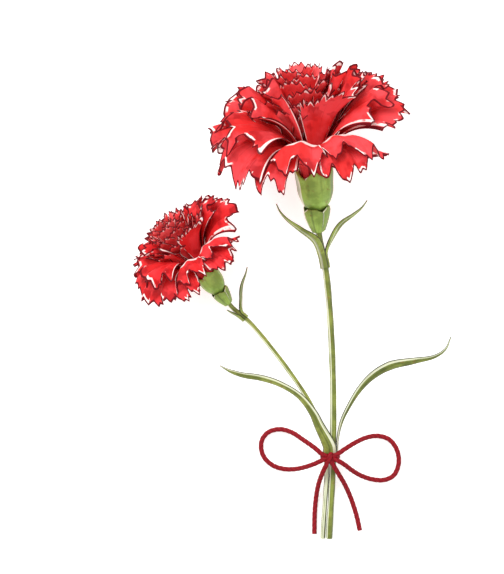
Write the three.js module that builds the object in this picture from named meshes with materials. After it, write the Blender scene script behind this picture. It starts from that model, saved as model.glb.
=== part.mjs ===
// Two cut carnations, a large open flower and a smaller one, tied with a thin cord in a bow and
// laid down on a flat surface.
//
// Millimetres, +Z up from the surface. While the model is laid out its origin is on the surface
// below the tie: +Y runs up the stems and +X is to the right, as seen from above. The finished
// group is then moved so that its origin is the bottom centre of its box.
//
// A flower head has its own frame: origin at the foot of the calyx, +Y along the flower's axis,
// +Z towards the side that faces up and +X to its right. Angles round an axis start at +Z and
// grow towards +X.

import * as THREE from "three";

const { degToRad, lerp, smoothstep, clamp } = THREE.MathUtils;

// ------------------------------------------------------------------ driving dimensions

const CLEAR = 0.3; // gap between two pieces that touch

// The calyx, a cup with a round foot and five pointed sepals at its rim, at full size.
const CALYX = {
  radius: 7.2,
  roundHeight: 11, // height over which the foot rounds out to the full radius
  wall: 0.9,
  floor: 4.5, // solid receptacle inside, on which the petals stand
  rim: 15,
  sepals: 5,
  sepalLength: 3.5,
  sepalFlare: 0.9,
  sides: 20,
};

// The short bracts that form a cup under the calyx, at full size.
const BRACT = {
  below: 8, // how far the cup reaches down the stem from the calyx foot
  above: 1.6, // how far its points reach up the calyx
  thickness: 0.7,
  halfAngle: 41,
  count: 4,
  firstAngle: -30,
};

// The petals. Layer 0 is the innermost and layer 1 the outermost. A petal's claw stands in the
// calyx and its blade opens above the throat, turning away from the axis as it goes out.
const PETAL = {
  thickness: 0.35,
  throat: 17, // height at which a blade starts to open
  innerShare: 0.12, // where the innermost claws stand, as a share of the calyx radius
  outerShare: 0.85,
  bladeLength: [40, 45], // innermost and outermost
  startAngle: [2, 10], // lean of a blade at the throat
  innerEndAngle: 6, // lean of the innermost blade at its tip
  openPower: 1.3, // how late the layers open, from inside out
  clawWidth: 0.76, // width of a claw, as a share of the blade's
  shoulder: 0.14, // how much shorter a blade is at its two sides
  teeth: 4,
  toothDepth: 0.05, // share of the blade
  ruffle: 0.055, // height of the ruffles, in layers
  ruffles: 2.5, // waves across a blade
  cellsAcross: 8,
  cellsAlong: 6, // the first is the claw
};

// How far the outermost blades lean at their tips, as [angle round the flower, lean]. The front
// hangs down over the calyx and the right side stands out almost level.
const DROOP = [
  [-180, 110],
  [-115, 112],
  [-90, 132],
  [-65, 143],
  [-45, 158],
  [0, 160],
  [46, 150],
  [60, 110],
  [90, 85],
  [130, 88],
  [180, 110],
];

// The surface presses the underside of a head flat up to this height, at full size.
const PRESS_HEIGHT = 14;

// The two flowers. foot is the calyx foot, lean the turn to the left as seen from above, and
// tilt the rise of the head's axis from the surface. rings gives, from the outside in, each
// ring's layer and its petals as [middle angle, width], in degrees. leafNode is where the leaf
// pair stands, as a distance below the calyx foot. Each leaf of the pair clasps the stem on
// the side claspTurn for the length clasp, then follows its points in the layout frame.
// stemSide is the side of the other stem on which this one runs through the tie, -1 for the
// left, and stemPoints is what it passes through above the tie.
const LARGE = {
  name: "large",
  size: 1,
  foot: [-5.2, 98.4, 22],
  lean: 5,
  tilt: 15,
  stemRadius: 1.35,
  stemSide: 1,
  stemPoints: [
    [1.0, 40, 12.2],
    [-1.6, 74, 17.6],
  ],
  rings: [
    {
      layer: 1.0,
      petals: [
        [-14, 41],
        [31, 41],
        [76, 41],
        [121, 41],
        [166, 41],
        [211, 41],
        [256, 41],
        [301, 41],
      ],
    },
    {
      layer: 0.77,
      petals: [
        [59, 56],
        [119, 56],
        [179, 56],
        [239, 56],
        [299, 56],
      ],
    },
    {
      layer: 0.54,
      petals: [
        [80, 66],
        [150, 66],
        [220, 66],
        [290, 66],
      ],
    },
    {
      layer: 0.33,
      petals: [
        [9, 80],
        [100, 85],
        [190, 85],
        [278, 80],
      ],
    },
    { layer: 0.1, petals: [[40, 150]] },
  ],
  leafNode: 22.8,
  leaves: [
    {
      side: "left",
      clasp: 5,
      claspTurn: -60,
      points: [
        [-6.6, 87.0, 21.4],
        [-12.0, 91.4, 22.2],
        [-17.1, 95.2, 22.4],
        [-20.1, 98.6, 22.0],
        [-21.5, 101.6, 21.4],
      ],
      turn: [-60, -60, -30, -25, -25, -35, -50],
      halfWidth: [0, 0, 1.7, 1.15, 0.9, 0.6, 0.15],
    },
    {
      side: "right",
      clasp: 5.5,
      claspTurn: 95,
      points: [
        [1.3, 88.4, 19.0],
        [4.5, 93.7, 20.2],
        [9.2, 97.2, 21.0],
        [12.5, 99.9, 21.2],
        [14.8, 103.0, 21.0],
      ],
      turn: [95, 95, 60, 35, 30, 40, 50],
      halfWidth: [0, 0, 1.4, 1.1, 0.9, 0.6, 0.15],
    },
  ],
};

const SMALL = {
  name: "small",
  size: 0.66,
  foot: [-43.6, 66, 15.4],
  lean: 37,
  tilt: 15,
  stemRadius: 0.95,
  stemSide: -1,
  stemPoints: [
    [-3.0, 10, 7.6],
    [-8.8, 23.4, 9.2],
    [-31.4, 53.4, 12.8],
  ],
  rings: [
    {
      layer: 1.0,
      petals: [
        [-14, 41],
        [31, 41],
        [80, 48],
        [143, 66],
        [216, 66],
        [288, 66],
      ],
    },
    {
      layer: 0.77,
      petals: [
        [68, 70],
        [143, 70],
        [218, 70],
        [292, 70],
      ],
    },
    {
      layer: 0.45,
      petals: [
        [9, 84],
        [115, 112],
        [242, 120],
      ],
    },
    { layer: 0.12, petals: [[200, 160]] },
  ],
  leafNode: 14.4,
  leaves: [
    {
      side: "left",
      clasp: 4,
      claspTurn: -75,
      points: [
        [-38.6, 57.6, 14.6],
        [-41.2, 59.2, 15.2],
      ],
      turn: [-75, -75, -60, -50],
      halfWidth: [0, 0, 1.0, 0.15],
    },
    {
      side: "right",
      clasp: 2.6,
      claspTurn: 80,
      points: [
        [-35.6, 65.2, 14.6],
        [-35.2, 69.6, 15.4],
        [-33.9, 73.2, 15.6],
        [-33.1, 76.4, 15.2],
      ],
      turn: [80, 80, 45, 35, 40, 50],
      halfWidth: [0, 0, 0.95, 0.8, 0.55, 0.12],
    },
  ],
};
const UPPER_LEAF = { thickness: 0.5, cells: 10 };
const CLASP_HALF_ANGLE = 68;

// The stems lie side by side through the tie, down to their cut ends. Each place is the middle
// of the gap between them; at the cut they rest on the surface.
const CUT = { x: -1.6, y: -33.2 };
const TIE = { x: -0.1, y: 0, height: 6 };

// The two long leaves, which clasp the stems just above the tie. The left one clasps both stems
// from the front. claspStart is its distance up the stems from their cut ends.
const LOWER_LEAF = { thickness: 0.6, cells: 16 };
const LOWER_LEAVES = [
  {
    name: "left_lower_leaf",
    stems: ["large", "small"],
    claspTurn: 0,
    claspStart: 35.4,
    clasp: 2.6,
    points: [
      [-4.3, 12.6, 10.4],
      [-7.0, 18.0, 11.2],
      [-12.6, 24.9, 12.4],
      [-20.2, 29.4, 13.2],
      [-28.1, 31.9, 13.2],
      [-34.8, 33.0, 12.4],
      [-40.0, 34.6, 11.0],
      [-44.2, 36.8, 9.0],
    ],
    turn: [0, -20, -24, -26, -36, -44, -40, -30, -26, -30],
    halfWidth: [2.9, 2.4, 1.8, 1.4, 1.2, 1.15, 1.1, 1.1, 0.8, 0.15],
    channel: [0, 3.4, 3.4, 3.6, 4, 5],
  },
  {
    name: "right_lower_leaf",
    stems: ["large"],
    claspTurn: 95,
    claspStart: 35.4,
    clasp: 5,
    points: [
      [5.0, 14.2, 8.8],
      [8.0, 20.6, 9.6],
      [12.0, 27.0, 10.6],
      [17.4, 32.6, 11.6],
      [24.6, 36.8, 12.6],
      [34.0, 38.7, 13.2],
      [42.0, 40.4, 13.2],
      [46.4, 43.4, 12.6],
      [48.7, 48.4, 11.6],
    ],
    turn: [95, 92, 70, 55, 45, 30, 20, 25, 38, 45, 50],
    halfWidth: [1.7, 1.3, 1.0, 1.05, 1.2, 1.4, 1.6, 1.4, 1.0, 0.7, 0.15],
    channel: [0, 2.4, 3, 4, 5, 6],
  },
];

// The tie: a turn of cord round both stems, a knot on top of it, two loops and two tails.
const CORD = { radius: 0.9, sides: 8, step: 3.6 };
const KNOT = {
  halfWidth: 2 * CORD.radius + 0.6,
  halfLength: 2 * CORD.radius + 0.2,
  halfHeight: 2 * CORD.radius,
};

// What each loop and tail passes through between its ends at the knot and its free end, in the
// layout frame. The third number is a height: 0 where the cord lies on the surface, 1 where it
// is level with the knot.
const LOOP_ROUTES = {
  left: [
    [-6.2, 3.9, 0.92],
    [-10.6, 6.9, 0.58],
    [-15.3, 9.8, 0.2],
    [-19.9, 10.9, 0.02],
    [-24.4, 9.8, 0],
    [-27.0, 6.9, 0],
    [-27.5, 3.1, 0],
    [-26.1, -0.7, 0],
    [-22.6, -3.8, 0],
    [-18.4, -5.1, 0.04],
    [-14.2, -5.1, 0.25],
    [-10.2, -4.2, 0.56],
    [-6.2, -2.7, 0.9],
  ],
  right: [
    [6.6, 3.6, 0.93],
    [10.8, 6.0, 0.66],
    [15.2, 7.7, 0.29],
    [19.8, 8.2, 0.04],
    [24.2, 6.8, 0],
    [27.3, 2.7, 0],
    [28.1, -2.8, 0],
    [26.1, -7.7, 0],
    [22.1, -9.6, 0],
    [17.4, -9.3, 0.05],
    [13.0, -7.8, 0.25],
    [9.2, -5.5, 0.6],
    [5.7, -2.8, 0.92],
  ],
};
const TAIL_ROUTES = {
  left: [
    [-2.7, -6.0, 0.78],
    [-4.2, -10.4, 0.42],
    [-5.2, -15.7, 0.1],
    [-5.8, -22.1, 0],
    [-6.0, -31.4, 0],
  ],
  right: [
    [3.4, -6.4, 0.74],
    [6.3, -11.4, 0.38],
    [8.8, -17.1, 0.07],
    [10.9, -23.5, 0],
    [12.4, -30.0, 0],
  ],
};

const STEM_SIDES = 8;
const STEM_STEP = 5;

// ------------------------------------------------------------------ shapes

/** The value at share (0 to 1) of a list whose entries are equally spaced. */
function along(list, share) {
  const place = clamp(share, 0, 1) * (list.length - 1);
  const low = Math.min(Math.floor(place), list.length - 2);
  return lerp(list[low], list[low + 1], place - low);
}

/** A unit vector at an angle, in degrees, round +Y: 0 is +Z and 90 is +X. */
function outward(angle) {
  return new THREE.Vector3(Math.sin(degToRad(angle)), 0, Math.cos(degToRad(angle)));
}

/** The placing matrix of a frame at origin whose +Y is axis and whose +Z leans most to +Z. */
function frameAt(origin, axis) {
  const front = new THREE.Vector3(0, 0, 1).addScaledVector(axis, -axis.z).normalize();
  const right = new THREE.Vector3().crossVectors(axis, front);
  return new THREE.Matrix4().makeBasis(right, axis, front).setPosition(origin);
}

/**
 * A closed sheet: a box of cells bent so that each corner lands on place(across, along, depth),
 * where across and depth run from -1 to 1 and along from 0 to 1.
 */
function bentSheet(cellsAcross, cellsAlong, place) {
  const sheet = new THREE.BoxGeometry(2, 1, 2, cellsAcross, cellsAlong, 1);
  const corners = sheet.getAttribute("position");
  for (let i = 0; i < corners.count; i++) {
    const at = place(corners.getX(i), corners.getY(i) + 0.5, corners.getZ(i));
    corners.setXYZ(i, at.x, at.y, at.z);
  }
  return sheet;
}

/** A tube with flat ends along a curve, with about step between its rings. */
function tube(curve, radius, sides, step) {
  const ring = Array.from({ length: sides }, (_, i) => {
    const turn = (2 * Math.PI * (i + 0.5)) / sides;
    return new THREE.Vector2(radius * Math.cos(turn), radius * Math.sin(turn));
  });
  return new THREE.ExtrudeGeometry(new THREE.Shape(ring), {
    extrudePath: curve,
    steps: Math.ceil(curve.getLength() / step),
    bevelEnabled: false,
  });
}

/** A smooth curve through points given as [x, y, z]. */
function curveThrough(points) {
  const places = points.map((p) => new THREE.Vector3(...p));
  return new THREE.CatmullRomCurve3(places, false, "centripetal");
}

// ------------------------------------------------------------------ flower heads

/** Outer radius of a calyx at a height above its foot. */
function calyxOuter(head, height) {
  const rise = Math.min(height / (head.size * CALYX.roundHeight), 1);
  return head.size * CALYX.radius * Math.sqrt(1 - (1 - rise) ** 2);
}

/** Inner radius of a calyx at a height above its floor. */
function calyxInner(head, height) {
  return calyxOuter(head, height) - head.size * CALYX.wall;
}

/** A calyx: a turned cup whose rim is drawn up and out into pointed sepals. */
function calyxGeometry(head) {
  const { size } = head;
  const [floor, rim] = [size * CALYX.floor, size * CALYX.rim];
  const heights = (from, to, count) =>
    Array.from({ length: count + 1 }, (_, i) => lerp(from, to, i / count));
  const outside = heights(0, rim, 7).map((h) => new THREE.Vector2(calyxOuter(head, h), h));
  const inside = heights(rim, floor, 4).map((h) => new THREE.Vector2(calyxInner(head, h), h));
  const cup = new THREE.LatheGeometry(
    [...outside, ...inside, new THREE.Vector2(0, floor)],
    CALYX.sides,
  );
  const corners = cup.getAttribute("position");
  for (let i = 0; i < corners.count; i++) {
    const [x, y, z] = [corners.getX(i), corners.getY(i), corners.getZ(i)];
    if (y < rim - 1e-3) continue;
    const turn = (Math.atan2(x, z) / (2 * Math.PI)) * CALYX.sepals;
    const point = 1 - 2 * Math.abs(turn - Math.round(turn));
    const flare = 1 + (point * size * CALYX.sepalFlare) / Math.hypot(x, z);
    corners.setXYZ(i, x * flare, y + point * size * CALYX.sepalLength, z * flare);
  }
  return cup;
}

/** One bract of the cup under a calyx, hugging the stem below and the calyx above. */
function bractGeometry(head, angle) {
  const { size } = head;
  const [low, high] = [-size * BRACT.below, size * BRACT.above];
  const neck = head.stemRadius + CLEAR;
  const lip = calyxOuter(head, high) + CLEAR;
  return bentSheet(4, 5, (across, share, depth) => {
    const radius = lerp(neck, lip, Math.sin((share * Math.PI) / 2));
    const width = BRACT.halfAngle * (1 - 0.8 * smoothstep(share, 0.5, 1));
    const out = radius + ((depth + 1) / 2) * size * BRACT.thickness;
    return outward(angle + across * width)
      .multiplyScalar(out)
      .setY(lerp(low, high, share));
  });
}

/** How far the outermost blades lean at their tips, at an angle round the flower. */
function droopAt(angle) {
  const turn = angle - 360 * Math.floor((angle + 180) / 360);
  const next = DROOP.findIndex(([end]) => end > turn);
  const [[from, low], [to, high]] = [DROOP[next - 1], DROOP[next]];
  return lerp(low, high, smoothstep(turn, from, to));
}

/**
 * A point of a petal layer, in the head's frame. reach runs from -1 at the foot of the claw
 * through 0 at the throat to 1 at the tip of the blade.
 */
function layerPoint(head, layer, angle, reach) {
  const { size } = head;
  const foot = size * CALYX.floor + CLEAR;
  const throat = size * PETAL.throat;
  const share = lerp(PETAL.innerShare, PETAL.outerShare, layer);
  if (reach <= 0) {
    const height = lerp(throat, foot, -reach);
    return outward(angle).multiplyScalar(share * calyxInner(head, height)).setY(height);
  }
  const start = degToRad(lerp(...PETAL.startAngle, layer));
  const end = degToRad(lerp(PETAL.innerEndAngle, droopAt(angle), layer ** PETAL.openPower));
  const length = size * lerp(...PETAL.bladeLength, layer);
  const lean = lerp(start, end, reach);
  const bend = length / (end - start);
  return outward(angle)
    .multiplyScalar(
      share * calyxInner(head, throat) + bend * (Math.cos(start) - Math.cos(lean)),
    )
    .setY(throat + bend * (Math.sin(lean) - Math.sin(start)));
}

/** The head with its frame, and with the press that keeps its petals above the surface. */
function placedHead(spec) {
  const [lean, tilt] = [degToRad(spec.lean), degToRad(spec.tilt)];
  const axis = new THREE.Vector3(
    -Math.sin(lean) * Math.cos(tilt),
    Math.cos(lean) * Math.cos(tilt),
    Math.sin(tilt),
  );
  const frame = frameAt(new THREE.Vector3(...spec.foot), axis);
  const back = frame.clone().invert();
  const level = spec.size * PRESS_HEIGHT;
  let lowest = 0;
  for (let angle = 90; angle <= 270; angle += 2)
    for (let reach = 0.5; reach <= 1; reach += 0.05) {
      const stretched = reach * (1 + PETAL.toothDepth);
      lowest = Math.min(lowest, layerPoint(spec, 1, angle, stretched).applyMatrix4(frame).z);
    }
  const room = level - PETAL.thickness / 2;
  const depth = level - lowest;
  const give = (depth * room) / (depth - room);
  const press = (point) => {
    const at = point.applyMatrix4(frame);
    const sunk = level - at.z;
    if (sunk > 0) at.z = level - sunk / (1 + sunk / give);
    return at.applyMatrix4(back);
  };
  return { ...spec, frame, axis, press };
}

/** One petal: a thin sheet of a layer with a narrow claw and a wide, ruffled, toothed blade. */
function petalGeometry(head, layer, [middle, width]) {
  const clawShare = 1 / PETAL.cellsAlong;
  const surface = (across, reach) => {
    const spread = lerp(PETAL.clawWidth, 1, smoothstep(reach, 0, 0.5));
    const wave = Math.sin(Math.PI * PETAL.ruffles * across + middle);
    const waved = layer + PETAL.ruffle * wave * smoothstep(reach, 0.1, 1);
    const angle = middle + (across * spread * width) / 2;
    return head.press(layerPoint(head, waved, angle, reach));
  };
  return bentSheet(PETAL.cellsAcross, PETAL.cellsAlong, (across, share, depth) => {
    let reach = share < clawShare ? share / clawShare - 1 : 0;
    if (share > clawShare) {
      const out = (share - clawShare) / (1 - clawShare);
      const tooth = 0.5 - 0.5 * Math.cos(Math.PI * PETAL.teeth * (across + 1));
      const fringe = PETAL.toothDepth * tooth * smoothstep(out, 0.7, 1);
      reach = out * (1 - PETAL.shoulder * across ** 2) + fringe;
    }
    const nudge = 1e-3;
    const at = surface(across, reach);
    const aside = surface(across + nudge, reach).sub(surface(across - nudge, reach));
    const onward = surface(across, reach + nudge).sub(surface(across, reach - nudge));
    const normal = aside.cross(onward).normalize();
    return at.addScaledVector(normal, (depth * PETAL.thickness) / 2);
  });
}

// ------------------------------------------------------------------ stems and leaves

/** The middle line of a flower's stem, from its cut end to just below the calyx foot. */
function stemCurve(head) {
  const foot = new THREE.Vector3(...head.foot);
  const below = (distance) => foot.clone().addScaledVector(head.axis, -distance).toArray();
  const aside = head.stemSide * (head.stemRadius + CLEAR / 2);
  const flat = Math.cos(Math.PI / STEM_SIDES); // a tube's flats lie closer in than its corners
  return curveThrough([
    [CUT.x + aside, CUT.y, head.stemRadius * flat],
    [TIE.x + aside, TIE.y, TIE.height],
    ...head.stemPoints,
    below(head.size * BRACT.below + 2),
    below(head.size * BRACT.below * 0.5),
    below(CLEAR),
  ]);
}

/** The round bar a leaf clasps at a distance up the stems: one stem, or two side by side. */
function barAt(held, distance) {
  const middles = held.map(({ curve }) => curve.getPointAt(distance / curve.getLength()));
  const middle = middles
    .reduce((sum, point) => sum.add(point), new THREE.Vector3())
    .divideScalar(held.length);
  const radius = Math.max(...held.map((stem, i) => stem.radius + middles[i].distanceTo(middle)));
  const axis = held[0].curve.getTangentAt(distance / held[0].curve.getLength());
  return { frame: frameAt(middle, axis), radius };
}

/**
 * A leaf that clasps stems, then follows its points. At equal steps along it, turn is the way
 * its outer face looks, halfWidth half its width (0: CLASP_HALF_ANGLE) and channel the radius
 * of its fold (0: that of the clasp).
 */
function leafGeometry(held, start, leaf, { thickness, cells }) {
  const rimOf = (bar) => bar.radius + CLEAR + thickness / 2;
  const clasped = [0, 0.5, 1].map((share) => {
    const bar = barAt(held, start + share * leaf.clasp);
    const rim = outward(leaf.claspTurn).multiplyScalar(rimOf(bar));
    return rim.applyMatrix4(bar.frame).toArray();
  });
  const path = curveThrough([...clasped, ...leaf.points]);
  const hold = rimOf(barAt(held, start + leaf.clasp));
  const widths = leaf.halfWidth.map((w) => w || degToRad(CLASP_HALF_ANGLE) * hold);
  const folds = (leaf.channel ?? [0, 0, 2.4, 3, 4]).map((r) => r || hold);
  return bentSheet(4, cells, (across, share, depth) => {
    const middle = path.getPointAt(share);
    const looks = outward(along(leaf.turn, share));
    const radius = along(folds, share);
    const bend = (across * along(widths, share)) / radius;
    const out = radius + (depth * thickness) / 2;
    const frame = frameAt(middle, path.getTangentAt(share));
    const side = new THREE.Vector3(looks.z, 0, -looks.x);
    return looks
      .multiplyScalar(out * Math.cos(bend) - radius)
      .addScaledVector(side, out * Math.sin(bend))
      .applyMatrix4(frame);
  });
}

// ------------------------------------------------------------------ the tie

const WRAP_RADIUS = Math.max(LARGE.stemRadius, SMALL.stemRadius) + CLEAR + CORD.radius;
const KNOT_HEIGHT = TIE.height + WRAP_RADIUS + CORD.radius + CLEAR + KNOT.halfHeight;

/** The turn of cord round both stems: a ring drawn out sideways to hold them side by side. */
function wrapGeometry() {
  const ring = new THREE.TorusGeometry(WRAP_RADIUS, CORD.radius, CORD.sides, 24);
  const corners = ring.getAttribute("position");
  for (let i = 0; i < corners.count; i++) {
    const x = corners.getX(i);
    const [side, stem] = x > -1e-6 ? [1, LARGE] : [-1, SMALL];
    const reach = 1.5 * CLEAR + 2 * stem.stemRadius + CORD.radius - WRAP_RADIUS;
    corners.setX(i, x + side * reach);
  }
  return ring.rotateX(Math.PI / 2).translate(TIE.x, TIE.y, TIE.height);
}

/** The knot, a rounded lump that sits on the turn of cord. */
function knotGeometry() {
  return new THREE.SphereGeometry(1, 12, 8)
    .rotateX(Math.PI / 2)
    .scale(KNOT.halfWidth, KNOT.halfLength, KNOT.halfHeight)
    .translate(0, 0, KNOT_HEIGHT);
}

/** A length of cord through points whose heights run from 0, lying, to 1, at the knot. */
function cordGeometry(points) {
  const lying = CORD.radius + CLEAR;
  const route = points.map(([x, y, height]) => [x, y, lerp(lying, KNOT_HEIGHT, height)]);
  return tube(curveThrough(route), CORD.radius, CORD.sides, CORD.step);
}

/** The loop and the tail on one side of the knot: -1 for the left and 1 for the right. */
function bowHalf(side, loopRoute, tailRoute) {
  const apart = CORD.radius + CLEAR / 2;
  const loopX = side * (KNOT.halfWidth + CLEAR);
  const loop = [[loopX, apart, 1], ...loopRoute, [loopX, -apart, 1]];
  const tail = [[side * apart, -KNOT.halfLength - CLEAR, 1], ...tailRoute];
  return [cordGeometry(loop), cordGeometry(tail)];
}

// ------------------------------------------------------------------ the model

const PAINT = {
  petal: { color: "#d6222b", roughness: 0.6 },
  calyx: { color: "#8fa63e", roughness: 0.55 },
  leaf: { color: "#7e9a3c", roughness: 0.5 },
  stem: { color: "#8c9c3a", roughness: 0.5 },
  cord: { color: "#9c1523", roughness: 0.45 },
};
const MATERIALS = Object.fromEntries(
  Object.entries(PAINT).map(([kind, look]) => [
    kind,
    new THREE.MeshStandardMaterial({ ...look, metalness: 0 }),
  ]),
);

function addPiece(parent, name, geometry, kind) {
  const piece = new THREE.Mesh(geometry, MATERIALS[kind]);
  piece.name = name;
  parent.add(piece);
}

function groupAt(matrix) {
  const group = new THREE.Group();
  matrix.decompose(group.position, group.quaternion, group.scale);
  return group;
}

/** A whole flower: head, stem and the leaf pair below the head. */
function flower(head, stem) {
  const whole = new THREE.Group();
  const stalk = tube(stem.curve, stem.radius, STEM_SIDES, STEM_STEP);
  addPiece(whole, `${head.name}_stem`, stalk, "stem");

  const crown = groupAt(head.frame);
  addPiece(crown, `${head.name}_calyx`, calyxGeometry(head), "calyx");
  for (let i = 0; i < BRACT.count; i++) {
    const angle = BRACT.firstAngle + (360 / BRACT.count) * i;
    addPiece(crown, `${head.name}_bract_${i + 1}`, bractGeometry(head, angle), "calyx");
  }
  head.rings.forEach(({ layer, petals }, r) => {
    petals.forEach((petal, i) => {
      const name = `${head.name}_petal_${r + 1}_${i + 1}`;
      addPiece(crown, name, petalGeometry(head, layer, petal), "petal");
    });
  });
  whole.add(crown);

  for (const leaf of head.leaves) {
    const start = stem.curve.getLength() - head.leafNode;
    const name = `${head.name}_upper_leaf_${leaf.side}`;
    addPiece(whole, name, leafGeometry([stem], start, leaf, UPPER_LEAF), "leaf");
  }
  return whole;
}

const bunch = new THREE.Group();
const stems = {};
for (const spec of [LARGE, SMALL]) {
  const head = placedHead(spec);
  stems[head.name] = { curve: stemCurve(head), radius: head.stemRadius };
  bunch.add(flower(head, stems[head.name]));
}
for (const leaf of LOWER_LEAVES) {
  const held = leaf.stems.map((name) => stems[name]);
  const geometry = leafGeometry(held, leaf.claspStart, leaf, LOWER_LEAF);
  addPiece(bunch, leaf.name, geometry, "leaf");
}
addPiece(bunch, "tie_wrap", wrapGeometry(), "cord");
addPiece(bunch, "bow_knot", knotGeometry(), "cord");
for (const [name, side] of Object.entries({ left: -1, right: 1 })) {
  const [loop, tail] = bowHalf(side, LOOP_ROUTES[name], TAIL_ROUTES[name]);
  addPiece(bunch, `bow_loop_${name}`, loop, "cord");
  addPiece(bunch, `bow_tail_${name}`, tail, "cord");
}

const carnations = new THREE.Group();
carnations.add(bunch);
const box = new THREE.Box3().setFromObject(bunch, true);
bunch.position.set(-(box.min.x + box.max.x) / 2, -(box.min.y + box.max.y) / 2, -box.min.z);

export default carnations;
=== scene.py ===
import logging
import math
from collections.abc import Callable, Sequence
from dataclasses import dataclass, field, replace
from enum import Enum
from functools import reduce
from typing import Any

import bpy
import numpy as np
from mathutils import Matrix, Vector


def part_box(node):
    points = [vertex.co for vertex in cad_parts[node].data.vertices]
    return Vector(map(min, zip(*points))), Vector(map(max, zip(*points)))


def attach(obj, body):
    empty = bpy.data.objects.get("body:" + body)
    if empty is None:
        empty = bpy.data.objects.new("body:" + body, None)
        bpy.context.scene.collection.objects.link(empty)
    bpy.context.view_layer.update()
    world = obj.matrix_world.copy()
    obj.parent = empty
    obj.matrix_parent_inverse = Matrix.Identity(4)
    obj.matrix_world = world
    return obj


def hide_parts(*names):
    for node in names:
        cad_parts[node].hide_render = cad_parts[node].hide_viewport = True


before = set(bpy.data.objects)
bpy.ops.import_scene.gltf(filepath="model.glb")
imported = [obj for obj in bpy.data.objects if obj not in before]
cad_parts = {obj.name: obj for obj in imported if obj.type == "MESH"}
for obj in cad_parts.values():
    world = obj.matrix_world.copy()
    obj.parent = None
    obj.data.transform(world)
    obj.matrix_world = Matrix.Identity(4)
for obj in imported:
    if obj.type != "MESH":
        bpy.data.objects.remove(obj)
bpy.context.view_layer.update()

LOG = logging.getLogger("carnations")

MM = 0.001  # the sizes below are in millimetres
CLEAR = 0.3  # gap between two pieces that touch
TIE_HEIGHT = 6.0  # height of the stems' middle lines at the tie
KNOT_HEIGHT = 11.55  # height of the knot's middle
STEMS_MIDDLE = -0.1  # where the gap between the stems is at the tie, to the right of the knot
THROAT_MAP = 0.15  # where a petal's claw ends and its blade starts, on its map
GOLDEN_ANGLE = 2.399963  # radians
FULL_TURN = 6.3  # about a full turn in radians, for waves that start anywhere

# rows of points along a petal: its claw, its blade, and closer ones at the margin
PETAL_ROWS = np.concatenate([
    [-1.0, -0.5], np.linspace(0, 0.62, 9)[:-1], np.linspace(0.62, 0.94, 9), [0.965, 0.985, 1.0]])
SMALL_PETAL_ROWS = np.array([0, 0.3, 0.55, 0.72, 0.84, 0.92, 0.965, 1.0])

Array = np.ndarray
Colour = tuple[float, float, float, float]
Span = tuple[float, float]
Places = tuple[tuple[float, float, float], ...]
Sockets = dict[str | int, Any]


class Slot(Enum):
    """The part's material slots."""

    PETAL = "petal"
    CALYX = "calyx"
    LEAF = "leaf"
    STEM = "stem"
    CORD = "cord"


class Side(Enum):
    """A side of the bunch as seen from above, with the flowers away from the viewer."""

    LEFT = -1
    RIGHT = 1


# --- numbers and curves


def lerp(low: Any, high: Any, share: Any) -> Any:
    """Value at share between low and high."""
    return low + (high - low) * share


def smooth(value: Any, low: Any, high: Any) -> Array:
    """Smooth step from 0 at low to 1 at high."""
    step = np.clip((np.asarray(value, float) - low) / (high - low), 0.0, 1.0)
    return step * step * (3.0 - 2.0 * step)


def along(values: Sequence[float], share: Array) -> Array:
    """Value at share, from 0 to 1, of a list whose entries are equally spaced."""
    return np.interp(share, np.linspace(0.0, 1.0, len(values)), values)


def outward(angle: Array) -> Array:
    """Unit vectors at angles in degrees round +Y, where 0 is +Z and 90 is +X."""
    turn = np.radians(angle)
    return np.stack([np.sin(turn), np.zeros_like(turn), np.cos(turn)], axis=-1)


def unit(vectors: Array) -> Array:
    """The vectors at length 1."""
    return vectors / np.linalg.norm(vectors, axis=-1, keepdims=True)


def frames_along(axes: Array) -> Array:
    """Turning matrices whose +Y is each axis and whose +Z leans most to the layout's +Z.

    Args:
        axes: Unit vectors, one in each row.

    Returns:
        One 3 by 3 matrix for each axis, with +X, +Y and +Z in its columns.
    """
    front = unit(np.array([0.0, 0.0, 1.0]) - axes * axes[..., 2:3])
    right = np.cross(axes, front)
    return np.stack([right, axes, front], axis=-1)


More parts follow.
